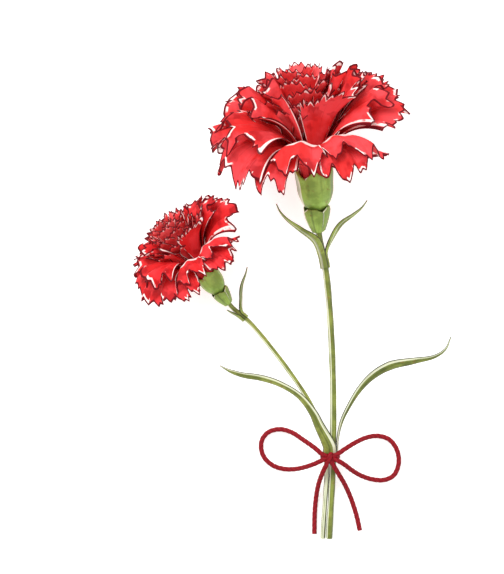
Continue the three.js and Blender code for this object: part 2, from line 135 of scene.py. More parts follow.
@dataclass
class Route:
    """A smooth curve through points of the layout frame, sampled at equal steps."""

    points: Sequence[Sequence[float]]
    step: float = 0.5
    samples: Array = field(init=False)
    length: float = field(init=False)

    def __post_init__(self) -> None:
        """Samples the centripetal curve through the points."""
        given = np.asarray(self.points, float)
        first, last = 2 * given[0] - given[1], 2 * given[-1] - given[-2]
        padded = np.vstack([first, given, last])
        runs = [self._run(padded[i : i + 4]) for i in range(len(given) - 1)]
        dense = np.vstack([*runs, given[-1:]])
        travelled = np.concatenate([[0.0], np.cumsum(np.linalg.norm(np.diff(dense, axis=0), axis=1))])
        self.length = float(travelled[-1])
        places = np.linspace(0.0, self.length, max(int(self.length / self.step), 2) + 1)
        self.samples = np.stack([np.interp(places, travelled, dense[:, k]) for k in range(3)], axis=1)

    @staticmethod
    def _run(four: Array) -> Array:
        """One run of the curve.

        Args:
            four: Four neighbouring points.

        Returns:
            Points from the second to just before the third.
        """
        p0, p1, p2, p3 = four
        t0, t1, t2 = (np.sqrt(np.linalg.norm(b - a)) for a, b in ((p0, p1), (p1, p2), (p2, p3)))
        leave = ((p1 - p0) / t0 - (p2 - p0) / (t0 + t1) + (p2 - p1) / t1) * t1
        arrive = ((p2 - p1) / t1 - (p3 - p1) / (t1 + t2) + (p3 - p2) / t2) * t1
        t = np.linspace(0.0, 1.0, 40, endpoint=False)[:, None]
        square, cube = -3 * p1 + 3 * p2 - 2 * leave - arrive, 2 * p1 - 2 * p2 + leave + arrive
        return p1 + leave * t + square * t**2 + cube * t**3

    def at(self, distance: Array) -> Array:
        """Places at distances from the start of the route."""
        travelled = np.linspace(0.0, self.length, len(self.samples))
        return np.stack([np.interp(distance, travelled, self.samples[:, k]) for k in range(3)], axis=-1)

    def heading(self, distance: Array) -> Array:
        """Unit vectors along the route at distances from its start."""
        before, after = (np.clip(np.asarray(distance) + step, 0.0, self.length) for step in (-0.4, 0.4))
        return unit(self.at(after) - self.at(before))


@dataclass(frozen=True)
class Layout:
    """The layout frame: its origin is on the surface below the tie."""

    origin: tuple[float, float, float]

    @classmethod
    def from_knot(cls) -> "Layout":
        """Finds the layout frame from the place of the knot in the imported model."""
        middle = sum(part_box("bow_knot"), Vector()) / (2 * MM)
        return cls((middle.x, middle.y, middle.z - KNOT_HEIGHT))

    def metres(self, points: Array) -> Array:
        """Points of the layout frame in metres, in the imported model's frame."""
        return (np.asarray(points, float) + np.array(self.origin)) * MM


LAYOUT = Layout.from_knot()


# --- shader maths


class Tone:
    """A node socket that can be used in expressions. Each operator adds its Math node."""

    def __init__(self, tree: "Tree", socket: bpy.types.NodeSocket) -> None:
        """Wraps an output socket of a tree."""
        self.tree = tree
        self.socket = socket

    def __add__(self, other: "Tone | float") -> "Tone":
        """Sum."""
        return self.tree.maths("ADD", self, other)

    __radd__ = __add__

    def __mul__(self, other: "Tone | float") -> "Tone":
        """Product."""
        return self.tree.maths("MULTIPLY", self, other)

    __rmul__ = __mul__

    def __sub__(self, other: "Tone | float") -> "Tone":
        """Difference."""
        return self.tree.maths("SUBTRACT", self, other)

    def __rsub__(self, other: float) -> "Tone":
        """Difference from a number."""
        return self.tree.maths("SUBTRACT", other, self)

    def __truediv__(self, other: "Tone | float") -> "Tone":
        """Quotient."""
        return self.tree.maths("DIVIDE", self, other)

    def __pow__(self, power: float) -> "Tone":
        """Power."""
        return self.tree.maths("POWER", self, power)

    def part(self, axis: int) -> "Tone":
        """One component of a vector: 0, 1 or 2."""
        return self.tree.result("ShaderNodeSeparateXYZ", {"Vector": self}, axis)


class Tree:
    """Makes the nodes of one shader or Geometry Nodes tree."""

    def __init__(self, tree: bpy.types.NodeTree) -> None:
        """Works on an empty tree."""
        self.tree = tree

    def node(self, kind: str, inputs: Sockets | None = None, **settings: Any) -> bpy.types.Node:
        """Adds a node.

        Args:
            kind: The node's type.
            inputs: Values or Tones for its sockets, by name or index.
            settings: Its properties, which are set first.

        Returns:
            The new node.
        """
        made = self.tree.nodes.new(kind)
        for name, value in settings.items():
            setattr(made, name, value)
        for key, value in (inputs or {}).items():
            if isinstance(value, Tone):
                self.tree.links.new(value.socket, made.inputs[key])
            else:
                made.inputs[key].default_value = value
        return made

    def result(self, kind: str, inputs: Sockets | None = None, key: str | int = 0, **settings: Any) -> Tone:
        """Adds a node as node does, and gives its output with a name or index."""
        return Tone(self, self.node(kind, inputs, **settings).outputs[key])

    def maths(self, operation: str, *values: "Tone | float") -> Tone:
        """A Math node's result."""
        return self.result("ShaderNodeMath", dict(enumerate(values)), operation=operation)

    def most(self, *values: Tone) -> Tone:
        """The largest of several values."""
        return reduce(lambda first, second: self.maths("MAXIMUM", first, second), values)

    def vector(self, x: "Tone | float", y: "Tone | float", z: "Tone | float" = 0.0) -> Tone:
        """A vector from its components."""
        return self.result("ShaderNodeCombineXYZ", {"X": x, "Y": y, "Z": z})


class Paint(Tree):
    """One procedural material."""

    def __init__(self, name: str) -> None:
        """Starts an empty material.

        Args:
            name: The material's name.
        """
        self.material = bpy.data.materials.new(name)
        self.material.use_nodes = True
        super().__init__(self.material.node_tree)
        self.tree.nodes.clear()

    def step(self, value: Tone, low: float, high: float) -> Tone:
        """Smooth step of a value from 0 at low to 1 at high."""
        inputs = {"Value": value, "From Min": low, "From Max": high}
        return self.result("ShaderNodeMapRange", inputs, interpolation_type="SMOOTHSTEP")

    def band(self, value: Tone, low: float, high: float, soft: float) -> Tone:
        """1 between low and high, falling to 0 over a soft edge on both sides."""
        return self.step(value, low - soft, low) * (1 - self.step(value, high, high + soft))

    def mix(self, share: "Tone | float", first: Any, second: Any) -> Tone:
        """Colour between first and second; each is a Tone or a linear colour."""
        return self.result("ShaderNodeMix", {0: share, 6: first, 7: second}, 2, data_type="RGBA")

    def noise(self, where: Tone, scale: float, detail: float = 2.0, rough: float = 0.5) -> Tone:
        """Noise value from about 0.2 to 0.8."""
        inputs = {"Vector": where, "Scale": scale, "Detail": detail, "Roughness": rough}
        return self.result("ShaderNodeTexNoise", inputs)

    def object_place(self) -> Tone:
        """The place on the piece, in metres."""
        return self.result("ShaderNodeTexCoord", key="Object")

    def uv(self) -> tuple[Tone, Tone]:
        """The piece's own map: across and along."""
        both = self.result("ShaderNodeUVMap", uv_map="UVMap")
        return both.part(0), both.part(1)

    def attribute(self, name: str, key: str) -> Tone:
        """One of the piece's attributes, as Fac or Vector."""
        return self.result("ShaderNodeAttribute", key=key, attribute_name=name)

    def from_middle(self, across: Tone) -> Tone:
        """How far a place is from the middle line, from 0 to 1 at the sides."""
        return self.maths("ABSOLUTE", across - 0.5) * 2.0

    def bump(self, height: Tone, distance: float, strength: float) -> Tone:
        """A normal from a height, where distance is in millimetres."""
        inputs = {"Height": height, "Distance": distance * MM, "Strength": strength}
        return self.result("ShaderNodeBump", inputs)

    def done(self, body: Tone, roughness: float, shine: float, more: Sockets) -> bpy.types.Material:
        """Feeds the surface shader.

        Args:
            body: The base colour.
            roughness: Its roughness.
            shine: Its specular level.
            more: Values or Tones for its other sockets, by name.

        Returns:
            The finished material.
        """
        inputs = {"Base Color": body, "Roughness": roughness, "Specular IOR Level": shine, **more}
        shader = self.result("ShaderNodeBsdfPrincipled", inputs)
        self.node("ShaderNodeOutputMaterial", {"Surface": shader})
        return self.material


def colour(red: float, green: float, blue: float) -> Colour:
    """A linear colour from screen values between 0 and 1."""
    parts = (c / 12.92 if c <= 0.04045 else ((c + 0.055) / 1.055) ** 2.4 for c in (red, green, blue))
    return (*parts, 1.0)


# --- finishes


@dataclass(frozen=True)
class PetalFinish:
    """Bright red petals with deep patches, fine veins, painted shade in the throat and near the margin, a
    dark line and painted highlights as pale streaks at the margin.

    Depths are millimetres inside the margin, and leans are in half turns.
    """

    name: str
    blade_length: float  # from throat to margin, which sets the width of the lines
    bright: Colour = colour(0.93, 0.29, 0.31)
    warm: Colour = colour(0.88, 0.19, 0.19)
    deep: Colour = colour(0.62, 0.05, 0.08)
    line: Colour = colour(0.38, 0.02, 0.07)
    pale: Colour = colour(1.0, 0.95, 0.93)
    patches: float = 75.0  # how fine the patches are
    deep_share: float = 0.55  # a patch is deep where the noise is above this
    shading: float = 1.0  # how strong the deep patches and the painted shade are
    cover: float = 0.94  # how much a line or a painted highlight hides what is below it
    line_depth: Span = (0.98, 0.7)  # where the dark line at the margin starts and is full
    rim_highlight_depth: Span = (1.65, 1.0)  # the painted highlights, pale streaks, inside it
    tooth_highlight_depth: Span = (1.8, 0.95)  # the painted highlights, pale drops, on the teeth
    margin_shade_depth: Span = (5.0, 1.0)  # the painted shade that gathers in patches at the margin
    side_line: Span = (0.952, 0.965)  # the dark line at the sides, as a share of the half width
    side_highlight: Span = (0.90, 0.945)  # the painted highlight, a pale streak, inside it
    fold_line: Span = (0.405, 0.440)  # leans where the dark line along a fold lies
    fold_highlight: Span = (0.452, 0.525)  # leans where the painted highlight, a bright band, beside it lies

    def inside(self, depths: Span) -> tuple[float, ...]:
        """The map's values along the petal at depths inside the margin."""
        return tuple(1.0 - (1.0 - THROAT_MAP) * depth / self.blade_length for depth in depths)

    def material(self) -> bpy.types.Material:
        """Builds the material from the map (across, along) and the lean and tooth attributes.

        Returns:
            The material.
        """
        paint = Paint(self.name)
        across, out = paint.uv()
        place, edge = paint.object_place(), paint.from_middle(across)
        lean, tooth = paint.attribute("lean", "Fac"), paint.attribute("tooth", "Fac")
        fine = paint.noise(paint.vector(across * 46.0, out * 2.2), 1.0, 3.0, 0.6)
        wash = paint.noise(place, self.patches, 3.0, 0.55)
        blots = paint.noise(place, self.patches * 1.9)
        streak = paint.noise(paint.vector(across * 7.0, out * 2.0, wash * 4.0), 1.0)
        body = paint.mix(paint.step(wash, 0.40, 0.60), self.bright, self.warm)
        # deep red in scattered patches, with painted shade in the throat and in patches near the margin
        scattered = paint.step(blots, self.deep_share, self.deep_share + 0.08) * 0.36
        # painted shade: darker down into the throat
        throat = (1 - paint.step(out, 0.12, 0.34)) * 0.45
        # painted shade in patches near the margin
        margin_shade = paint.step(blots, 0.47, 0.53) * paint.band(out, *self.inside(self.margin_shade_depth), 0.05) * 0.3
        shade = paint.maths("MINIMUM", scattered + throat + margin_shade, 0.85)
        body = paint.mix(shade * self.shading, body, self.deep)
        veins = paint.step(fine, 0.55, 0.72) * paint.band(out, 0.3, 0.86, 0.12)
        body = paint.mix(veins * 0.3, body, self.deep)
        # painted highlights: pale streaks along the margin, on the teeth, along a fold and at the sides
        rim = paint.band(out, *self.inside(self.rim_highlight_depth), 0.006) * paint.step(streak, 0.52, 0.56)
        drop = paint.band(out, *self.inside(self.tooth_highlight_depth), 0.01) * paint.step(tooth, 0.72, 0.86)
        tips = drop * paint.step(streak + (tooth - 1.0) * 0.5, 0.48, 0.53)
        # painted highlight: a bright band along a fold
        fold = paint.band(lean, *self.fold_highlight, 0.008) * (1 - paint.step(out, 0.70, 0.75))
        hem_highlight = paint.band(edge, *self.side_highlight, 0.01) * paint.step(streak, 0.44, 0.48)
        lights = paint.most(rim, tips, fold, hem_highlight * paint.step(out, 0.35, 0.45))
        body = paint.mix(lights * self.cover, body, self.pale)
        # the dark line round the margin and along a fold
        border = paint.step(out, *self.inside(self.line_depth))
        sides, crease = paint.step(edge, *self.side_line), paint.band(lean, *self.fold_line, 0.004)
        body = paint.mix(paint.most(border, sides, crease) * self.cover, body, self.line)
        ribs = paint.bump(fine + streak * 0.4, 0.14, 0.7)
        return paint.done(body, 0.62, 0.12, {"Normal": ribs})


@dataclass(frozen=True)
class GreenFinish:
    """Yellow-green skin with olive lines along it, a painted highlight as a pale band on one side, painted
    shade on the far side of round pieces, and small brown flecks.
    """

    name: str
    body: Colour = colour(0.57, 0.60, 0.27)
    olive: Colour = colour(0.36, 0.40, 0.12)
    dark: Colour = colour(0.17, 0.19, 0.07)
    light: Colour = colour(0.96, 0.97, 0.86)
    fleck: Colour = colour(0.50, 0.36, 0.14)
    painted_highlight: Span = (0.50, 0.88)  # where the painted highlight, a pale band, starts and ends
    # how much the painted highlight shows
    painted_highlight_share: float = 0.7
    on_sheet: bool = False  # True for a leaf or bract with a map
    margin: Span = (0.72, 0.88)  # where a sheet's dark margin starts and is full
    far_side_shade: float = 0.2  # painted shade: how dark a round piece is on the side away from the painted highlight
    outline: float = 0.85  # how dark the lines at both its sides are
    outline_place: Span = (0.84, 0.95)  # where they start and are full
    foot_highlight: float = 0.0  # painted highlight: how pale the stem is below the tie
    foot_end: Span = (0.030, 0.036)  # metres from the cut end over which that fades

    def on_blade(self, paint: Paint) -> tuple[Tone, Tone, Tone]:
        """What follows a leaf's map.

        Args:
            paint: The material in the making.

        Returns:
            The grain, the painted highlight and the dark lines.
        """
        across, out = paint.uv()
        grain = paint.noise(paint.vector(across * 16.0, out * 3.0), 1.0, 3.0, 0.6)
        margin = paint.step(paint.from_middle(across), *self.margin) * 0.95
        rib = paint.band(across, 0.47, 0.53, 0.03) * 0.4
        return grain, paint.band(across, *self.painted_highlight, 0.04), paint.most(margin, rib)

    def on_bar(self, paint: Paint) -> tuple[Tone, Tone, Tone]:
        """What follows the round, along and facing attributes of a stem or a cup.

        Args:
            paint: The material in the making.

        Returns:
            The grain, the painted highlight, and the dark lines with painted shade on the far side.
        """
        turn, length = paint.attribute("round", "Vector"), paint.attribute("along", "Fac")
        right = paint.attribute("facing", "Vector").part(0)
        left = right * -1.0
        stretched = paint.vector(turn.part(0) * 2.2, turn.part(1) * 2.2, length * 45.0)
        # painted highlight below the tie, over most of the stem
        foot = paint.band(left, -0.55, 0.84, 0.06) * (1 - paint.step(length, *self.foot_end))
        painted_highlight = paint.most(paint.band(left, *self.painted_highlight, 0.06), foot * self.foot_highlight)
        sides = paint.step(paint.maths("ABSOLUTE", right), *self.outline_place) * self.outline
        # the dark lines at both sides, and painted shade on the far side
        shade = paint.most(sides, paint.step(right, 0.35, 0.75) * self.far_side_shade)
        return paint.noise(stretched, 1.0, 3.0, 0.6), painted_highlight, shade

    def material(self) -> bpy.types.Material:
        """Builds the material.

        Returns:
            The material.
        """
        paint = Paint(self.name)
        place = paint.object_place()
        wash, specks = paint.noise(place, 170.0, 3.0, 0.6), paint.noise(place, 420.0)
        grain, painted_highlight, shade = self.on_blade(paint) if self.on_sheet else self.on_bar(paint)
        body = paint.mix(paint.step(wash, 0.36, 0.62) * 0.8, self.body, self.olive)
        body = paint.mix(paint.step(grain, 0.5, 0.66) * 0.6, body, self.olive)
        body = paint.mix(paint.step(specks, 0.63, 0.70) * 0.5, body, self.fleck)
        # painted highlight: a pale band on one side, broken up by the grain
        body = paint.mix(painted_highlight * paint.step(grain, 0.36, 0.46) * self.painted_highlight_share, body, self.light)
        # the dark lines, with painted shade on the far side of round pieces
        body = paint.mix(shade, body, self.dark)
        return paint.done(body, 0.42, 0.4, {"Normal": paint.bump(grain, 0.16, 0.8)})


@dataclass(frozen=True)
class CordFinish:
    """Crimson twisted cord: three strands with fine fibres, and painted shade in the grooves between them.
    """

    name: str = "crimson_cord"
    body: Colour = colour(0.53, 0.03, 0.08)
    bright: Colour = colour(0.60, 0.06, 0.12)
    # the colour of the painted shade in the grooves
    groove: Colour = colour(0.42, 0.02, 0.06)

    def material(self) -> bpy.types.Material:
        """Builds the material from the round and along attributes of a swept tube.

        Returns:
            The material.
        """
        paint = Paint(self.name)
        turn, length = paint.attribute("round", "Vector"), paint.attribute("along", "Fac")
        fibres = paint.noise(paint.vector(turn.part(0) * 9.0, turn.part(1) * 9.0, length * 900.0), 1.0)
        body = paint.mix(paint.step(fibres, 0.35, 0.65), self.body, self.bright)
        # painted shade in the grooves between the strands
        body = paint.mix((1 - paint.step(turn.part(2), 0.0, 0.55)) * 0.75, body, self.groove)
        return paint.done(body, 0.62, 0.2, {"Normal": paint.bump(fibres, 0.08, 0.8)})


@dataclass(frozen=True)
class FloorFinish:
    """Plain near-white paper with a barely seen tooth."""

    name: str = "pale_floor"
    tint: Colour = colour(0.97, 0.97, 0.97)
    shade: Colour = colour(0.955, 0.955, 0.955)
    glow: float = 0.45

    def material(self) -> bpy.types.Material:
        """Builds the material.

        Returns:
            The material.
        """
        paint = Paint(self.name)
        body = paint.mix(paint.noise(paint.object_place(), 900.0), self.tint, self.shade)
        light = {"Emission Color": (1.0, 1.0, 1.0, 1.0), "Emission Strength": self.glow}
        return paint.done(body, 0.9, 0.1, light)


# --- meshes


def add_object(name: str, data: bpy.types.ID) -> bpy.types.Object:
    """Puts a new object in the scene.

    Args:
        name: Its name.
        data: Its mesh, camera or light.

    Returns:
        The object.
    """
    made = bpy.data.objects.new(name, data)
    bpy.context.scene.collection.objects.link(made)
    return made


def mesh_object(
    name: str,
    points: Array,
    faces: list[tuple[int, ...]],
    material: bpy.types.Material | None = None,
) -> bpy.types.Object:
    """A mesh object with smooth faces at the origin.

    Args:
        name: The piece's name.
        points: Its corners in metres.
        faces: The corners of each face.
        material: Its finish, or None.

    Returns:
        The new object, linked to the scene.
    """
    mesh = bpy.data.meshes.new(name)
    mesh.from_pydata(np.asarray(points, float).reshape(-1, 3).tolist(), [], faces)
    mesh.polygons.foreach_set("use_smooth", [True] * len(mesh.polygons))
    mesh.update()
    if material:
        mesh.materials.append(material)
    return add_object(name, mesh)


def map_corners(mesh: bpy.types.Mesh, across: Array, out: Array) -> None:
    """Gives a mesh its own map.

    Args:
        mesh: The mesh.
        across: The map's first value at each point.
        out: Its second value.
    """
    layer = mesh.uv_layers.new(name="UVMap")
    corner = np.zeros(len(mesh.loops), np.int32)
    mesh.loops.foreach_get("vertex_index", corner)
    both = np.stack([across.ravel()[corner], out.ravel()[corner]], axis=1)
    layer.data.foreach_set("uv", both.astype(np.float32).ravel())


def mark(mesh: bpy.types.Mesh, name: str, values: Array, vectors: bool = False) -> None:
    """Stores one number or vector for each point of a mesh."""
    layer = mesh.attributes.new(name, "FLOAT_VECTOR" if vectors else "FLOAT", "POINT")
    layer.data.foreach_set("vector" if vectors else "value", values.astype(np.float32).ravel())


def sheet_faces(rows: int, columns: int) -> list[tuple[int, ...]]:
    """Faces of an open sheet.

    Args:
        rows: How many rows of points it has.
        columns: How many points each row has.

    Returns:
        The corners of each face.
    """
    starts = (r * columns + c for r in range(rows - 1) for c in range(columns - 1))
    return [(s, s + columns, s + columns + 1, s + 1) for s in starts]


def sleeve_faces(rows: int, columns: int) -> list[tuple[int, ...]]:
    """Faces of a closed sleeve, with a face over each end.

    Args:
        rows: How many rings of points it has.
        columns: How many points each ring has.

    Returns:
        The corners of each face.
    """
    walls = []
    for row in range(0, (rows - 1) * columns, columns):
        for c in range(columns):
            here, beside = row + c, row + (c + 1) % columns
            walls.append((here, beside, beside + columns, here + columns))
    last = (rows - 1) * columns
    return [*walls, tuple(range(columns))[::-1], tuple(last + c for c in range(columns))]


def lens_blade(
    name: str,
    place: Callable[[Array, Array, Array], Array],
    rows: int,
    columns: int,
    material: bpy.types.Material,
) -> bpy.types.Object:
    """A thin blade with a lens-shaped section, a groove along its upper face and a rib below.

    Args:
        name: The piece's name.
        place: Gives points of the layout frame from across (-1 to 1), share (0 to 1) and depth (-1 to 1).
        rows: How many sections it has along its length.
        columns: How many points each section has.
        material: Its finish.

    Returns:
        The blade.
    """
    around = np.linspace(0, 2 * np.pi, columns, endpoint=False)
    share, turn = np.meshgrid(np.linspace(0, 1, rows), around, indexing="ij")
    across, depth = np.cos(turn), np.sin(turn)
    depth = depth - 0.45 * np.exp(-((across / 0.16) ** 2)) * (1 - share**4)
    points = place(across, share, depth)
    blade = mesh_object(name, LAYOUT.metres(points), sleeve_faces(rows, columns), material)
    map_corners(blade.data, (across + 1) / 2, share)
    turn_outwards(blade.data)
    return blade


def turn_outwards(mesh: bpy.types.Mesh) -> None:
    """Turns a closed mesh's faces outwards if they point inwards.

    Args:
        mesh: The mesh.
    """
    mesh.calc_loop_triangles()
    points = np.array([v.co for v in mesh.vertices], float)
    corners = np.array([t.vertices for t in mesh.loop_triangles])
    a, b, c = (points[corners[:, k]] - points.mean(0) for k in range(3))
    if np.einsum("ij,ij->", a, np.cross(b, c)) < 0:
        mesh.flip_normals()


def thicken(sheet: bpy.types.Object) -> None:
    """Gives a petal its thickness, half of it on each side."""
    thick = sheet.modifiers.new("thickness", "SOLIDIFY")
    thick.thickness, thick.offset = PETAL.thickness * MM, 0.0


def settle(piece: bpy.types.Object, slot: Slot, node: str) -> None:
    """Makes a finished piece ride on the bunch in place of its CAD node, and reports it.

    Args:
        piece: The piece.
        slot: Its material slot.
        node: The CAD node's name.
    """
    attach(piece, "root")
    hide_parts(node)
    LOG.info("%s: %d points, slot %s", piece.name, len(piece.data.vertices), slot.value)


# --- geometry trees


class Growth(Tree):
    """One Geometry Nodes tree with named inputs."""

    def __init__(self, name: str) -> None:
        """Starts a tree that takes and gives a geometry.

        Args:
            name: The tree's name.
        """
        super().__init__(bpy.data.node_groups.new(name, "GeometryNodeTree"))
        for way in ("INPUT", "OUTPUT"):
            self.tree.interface.new_socket("Geometry", in_out=way, socket_type="NodeSocketGeometry")
        self.source = self.tree.nodes.new("NodeGroupInput")
        self.names: dict[str, str] = {}

    def inputs(self, **starts: Any) -> list[Tone]:
        """Adds named inputs.

        Args:
            starts: What each input holds at first, or the kind of thing that it takes.

        Returns:
            The inputs' sockets.
        """
        for name, start in starts.items():
            kind = {int: "Int", float: "Float"}.get(type(start), start)
            made = self.tree.interface.new_socket(name, in_out="INPUT", socket_type=f"NodeSocket{kind}")
            if kind != start:
                made.default_value = start
            self.names[name] = made.identifier
        return [Tone(self, self.source.outputs[name]) for name in starts]

    def close(self, shape: Tone, material: Tone) -> None:
        """Ends the tree with real geometry, smooth and in one material.

        Args:
            shape: What the tree makes.
            material: Its finish.
        """
        real = self.result("GeometryNodeRealizeInstances", {"Geometry": shape})
        soft = self.result("GeometryNodeSetShadeSmooth", {0: real})
        done = self.result("GeometryNodeSetMaterial", {0: soft, "Material": material})
        self.node("NodeGroupOutput", {0: done})

    def stored(self, shape: Tone, name: str, value: Tone, kind: str = "FLOAT") -> Tone:
        """The shape with a value stored on its points under a name."""
        inputs = {"Geometry": shape, "Name": name, "Value": value}
        return self.result("GeometryNodeStoreNamedAttribute", inputs, data_type=kind, domain="POINT")

    def grow(self, seedling: bpy.types.Object, **values: Any) -> None:
        """Runs the tree on an object, which then holds the plain mesh that it makes.

        Args:
            seedling: The object that the tree starts from.
            values: The tree's inputs by name.
        """
        modifier = seedling.modifiers.new("growth", "NODES")
        modifier.node_group = self.tree
        for name, value in values.items():
            modifier[self.names[name]] = value
        seedling.update_tag()
        ready = seedling.evaluated_get(bpy.context.evaluated_depsgraph_get())
        grown, started = bpy.data.meshes.new_from_object(ready), seedling.data
        seedling.modifiers.remove(modifier)
        seedling.data = grown
        grown.name = seedling.name
        bpy.data.meshes.remove(started)


class SweptTube(Growth):
    """A lobed section swept along a line, twisting as it goes."""

    def __init__(self) -> None:
        """Builds the tree."""
        super().__init__("swept_tube")
        radius, sides, lobes, depth, twist, material = self.inputs(
            Radius=0.001, Sides=18, Lobes=3.0, Depth=0.1, Twist=0.0, Material="Material")
        line = self.result("GeometryNodeMeshToCurve", {0: Tone(self, self.source.outputs[0])})
        travelled = self.result("GeometryNodeSplineParameter", key="Length")
        line = self.stored(line, "along", travelled)
        line = self.result("GeometryNodeSetCurveTilt", {"Curve": line, "Tilt": travelled * twist})
        swell = self.result("GeometryNodeInputNamedAttribute", {"Name": "swell"}, data_type="FLOAT")
        line = self.result("GeometryNodeSetCurveRadius", {"Curve": line, "Radius": swell})
        circle = {"Resolution": sides, "Radius": 1.0}
        ring = self.result("GeometryNodeCurvePrimitiveCircle", circle, mode="RADIUS")
        turn = self.result("GeometryNodeSplineParameter", key="Factor") * (2 * math.pi)
        wave = self.maths("COSINE", turn * lobes)
        reach = radius * (1 - depth * (0.5 - wave * 0.5))
        cosine, sine = self.maths("COSINE", turn), self.maths("SINE", turn)
        ring = self.stored(ring, "round", self.vector(cosine, sine, wave * 0.5 + 0.5), "FLOAT_VECTOR")
        section = self.vector(cosine * reach, sine * reach)
        ring = self.result("GeometryNodeSetPosition", {"Geometry": ring, "Position": section})
        parts = {"Curve": line, "Profile Curve": ring, "Fill Caps": True}
        swept = self.node("GeometryNodeCurveToMesh", parts)
        if "Scale" in swept.inputs:
            self.tree.links.new(swell.socket, swept.inputs["Scale"])
        normal = self.result("GeometryNodeInputNormal")
        self.close(self.stored(Tone(self, swept.outputs[0]), "facing", normal, "FLOAT_VECTOR"), material)

    def tube(
        self,
        name: str,
        line: Array,
        radius: float,
        material: bpy.types.Material,
        swell: Array | None = None,
        closed: bool = False,
        sides: int = 18,
        lobes: int = 3,
        depth: float = 0.1,
        twist: float = 0.0,
    ) -> bpy.types.Object:
        """Makes one tube.

        Args:
            name: The piece's name.
            line: Points of its middle line in the layout frame.
            radius: Its radius over the lobes.
            material: Its finish.
            swell: The radius at each point as a share of radius, or None for an even tube.
            closed: True for a ring.
            sides: Points of the section.
            lobes: How many lobes the section has.
            depth: How deep the grooves between them are, as a share of radius.
            twist: Turns of the section for each millimetre.

        Returns:
            The tube as a plain mesh object.
        """
        count = len(line)
        mesh = bpy.data.meshes.new(name)
        joins = [(i, i + 1) for i in range(count - 1)] + ([(count - 1, 0)] if closed else [])
        mesh.from_pydata(LAYOUT.metres(line).tolist(), joins, [])
        mark(mesh, "swell", np.ones(count) if swell is None else swell)
        tube = add_object(name, mesh)
        self.grow(tube, Radius=radius * MM, Sides=sides, Lobes=float(lobes), Depth=depth,
                  Twist=twist * 2 * math.pi / MM, Material=material)
        turn_outwards(tube.data)
        tube.data.set_sharp_from_angle(angle=math.radians(60))
        return tube


class Tuft(Growth):
    """Small petals stood on a golden-angle spiral, leaning outwards, in a dome."""

    def __init__(self) -> None:
        """Builds the tree, which works in the head's frame in metres."""
        super().__init__("tuft")
        petal, count, radius, top, drop, lean, flat, back, seed, material = self.inputs(
            Petal="Object", Count=30, Radius=0.015, Top=0.05, Drop=0.012, Lean=0.5, Flatten=0.7,
            Back=0.0, Seed=1, Material="Material")
        points = self.result("GeometryNodePoints", {"Count": count})
        index = self.result("GeometryNodeInputIndex")
        share = self.maths("SQRT", (index + 0.6) / count)
        turn = index * GOLDEN_ANGLE + 0.9
        size, sway = (
            self.result("FunctionNodeRandomValue", {2: low, 3: high, "ID": index, "Seed": number}, 1,
                        data_type="FLOAT")
            for low, high, number in ((0.86, 1.14, seed), (-0.35, 0.35, seed + 7.0)))
        out = share * radius
        height = top - drop * share**2.0 + sway * 0.0028
        forward = self.maths("COSINE", turn) * out * flat - back
        place = self.vector(self.maths("SINE", turn) * out, height, forward)
        spin = self.vector(lean * share, turn + sway, sway * 0.5)
        points = self.result("GeometryNodeSetPosition", {"Geometry": points, "Position": place})
        shape = self.result("GeometryNodeObjectInfo", {"Object": petal}, "Geometry")
        stood = self.result("GeometryNodeInstanceOnPoints", {
            "Points": points, "Instance": shape, "Rotation": spin, "Scale": size * (share * 0.4 + 0.64)})
        self.close(stood, material)


# --- flower heads


@dataclass(frozen=True)
class CalyxForm:
    """The calyx at full size: a cup with a round foot and pointed sepals at its rim."""

    radius: float = 7.2
    round_height: float = 11.0  # height above which the cup no longer widens
    wall: float = 0.9
    floor: float = 4.5  # height of the hollow's bottom
    rim: float = 15.0
    foot: float = 0.02  # radius of the flat spots that close the cup at its middle
    rib_depth: float = 0.018  # as a share of the radius
    sepals: int = 5
    sepal_length: float = 3.5
    sepal_flare: float = 0.9


@dataclass(frozen=True)
class BractForm:
    """The bracts at full size: a short cup under the calyx."""

    below: float = 8.0  # how far they reach below and above the foot of the calyx
    above: float = 2.3
    thickness: float = 0.7
    half_angle: float = 49.0
    rounding: Span = (0.82, 1.02)  # shares of the length between which the tip narrows
    narrowed: float = 0.6  # how much of the width that takes away
    count: int = 4
    first_angle: float = -24.0
    lap: float = 1.05  # how far every other one stands outside its neighbours, in thicknesses


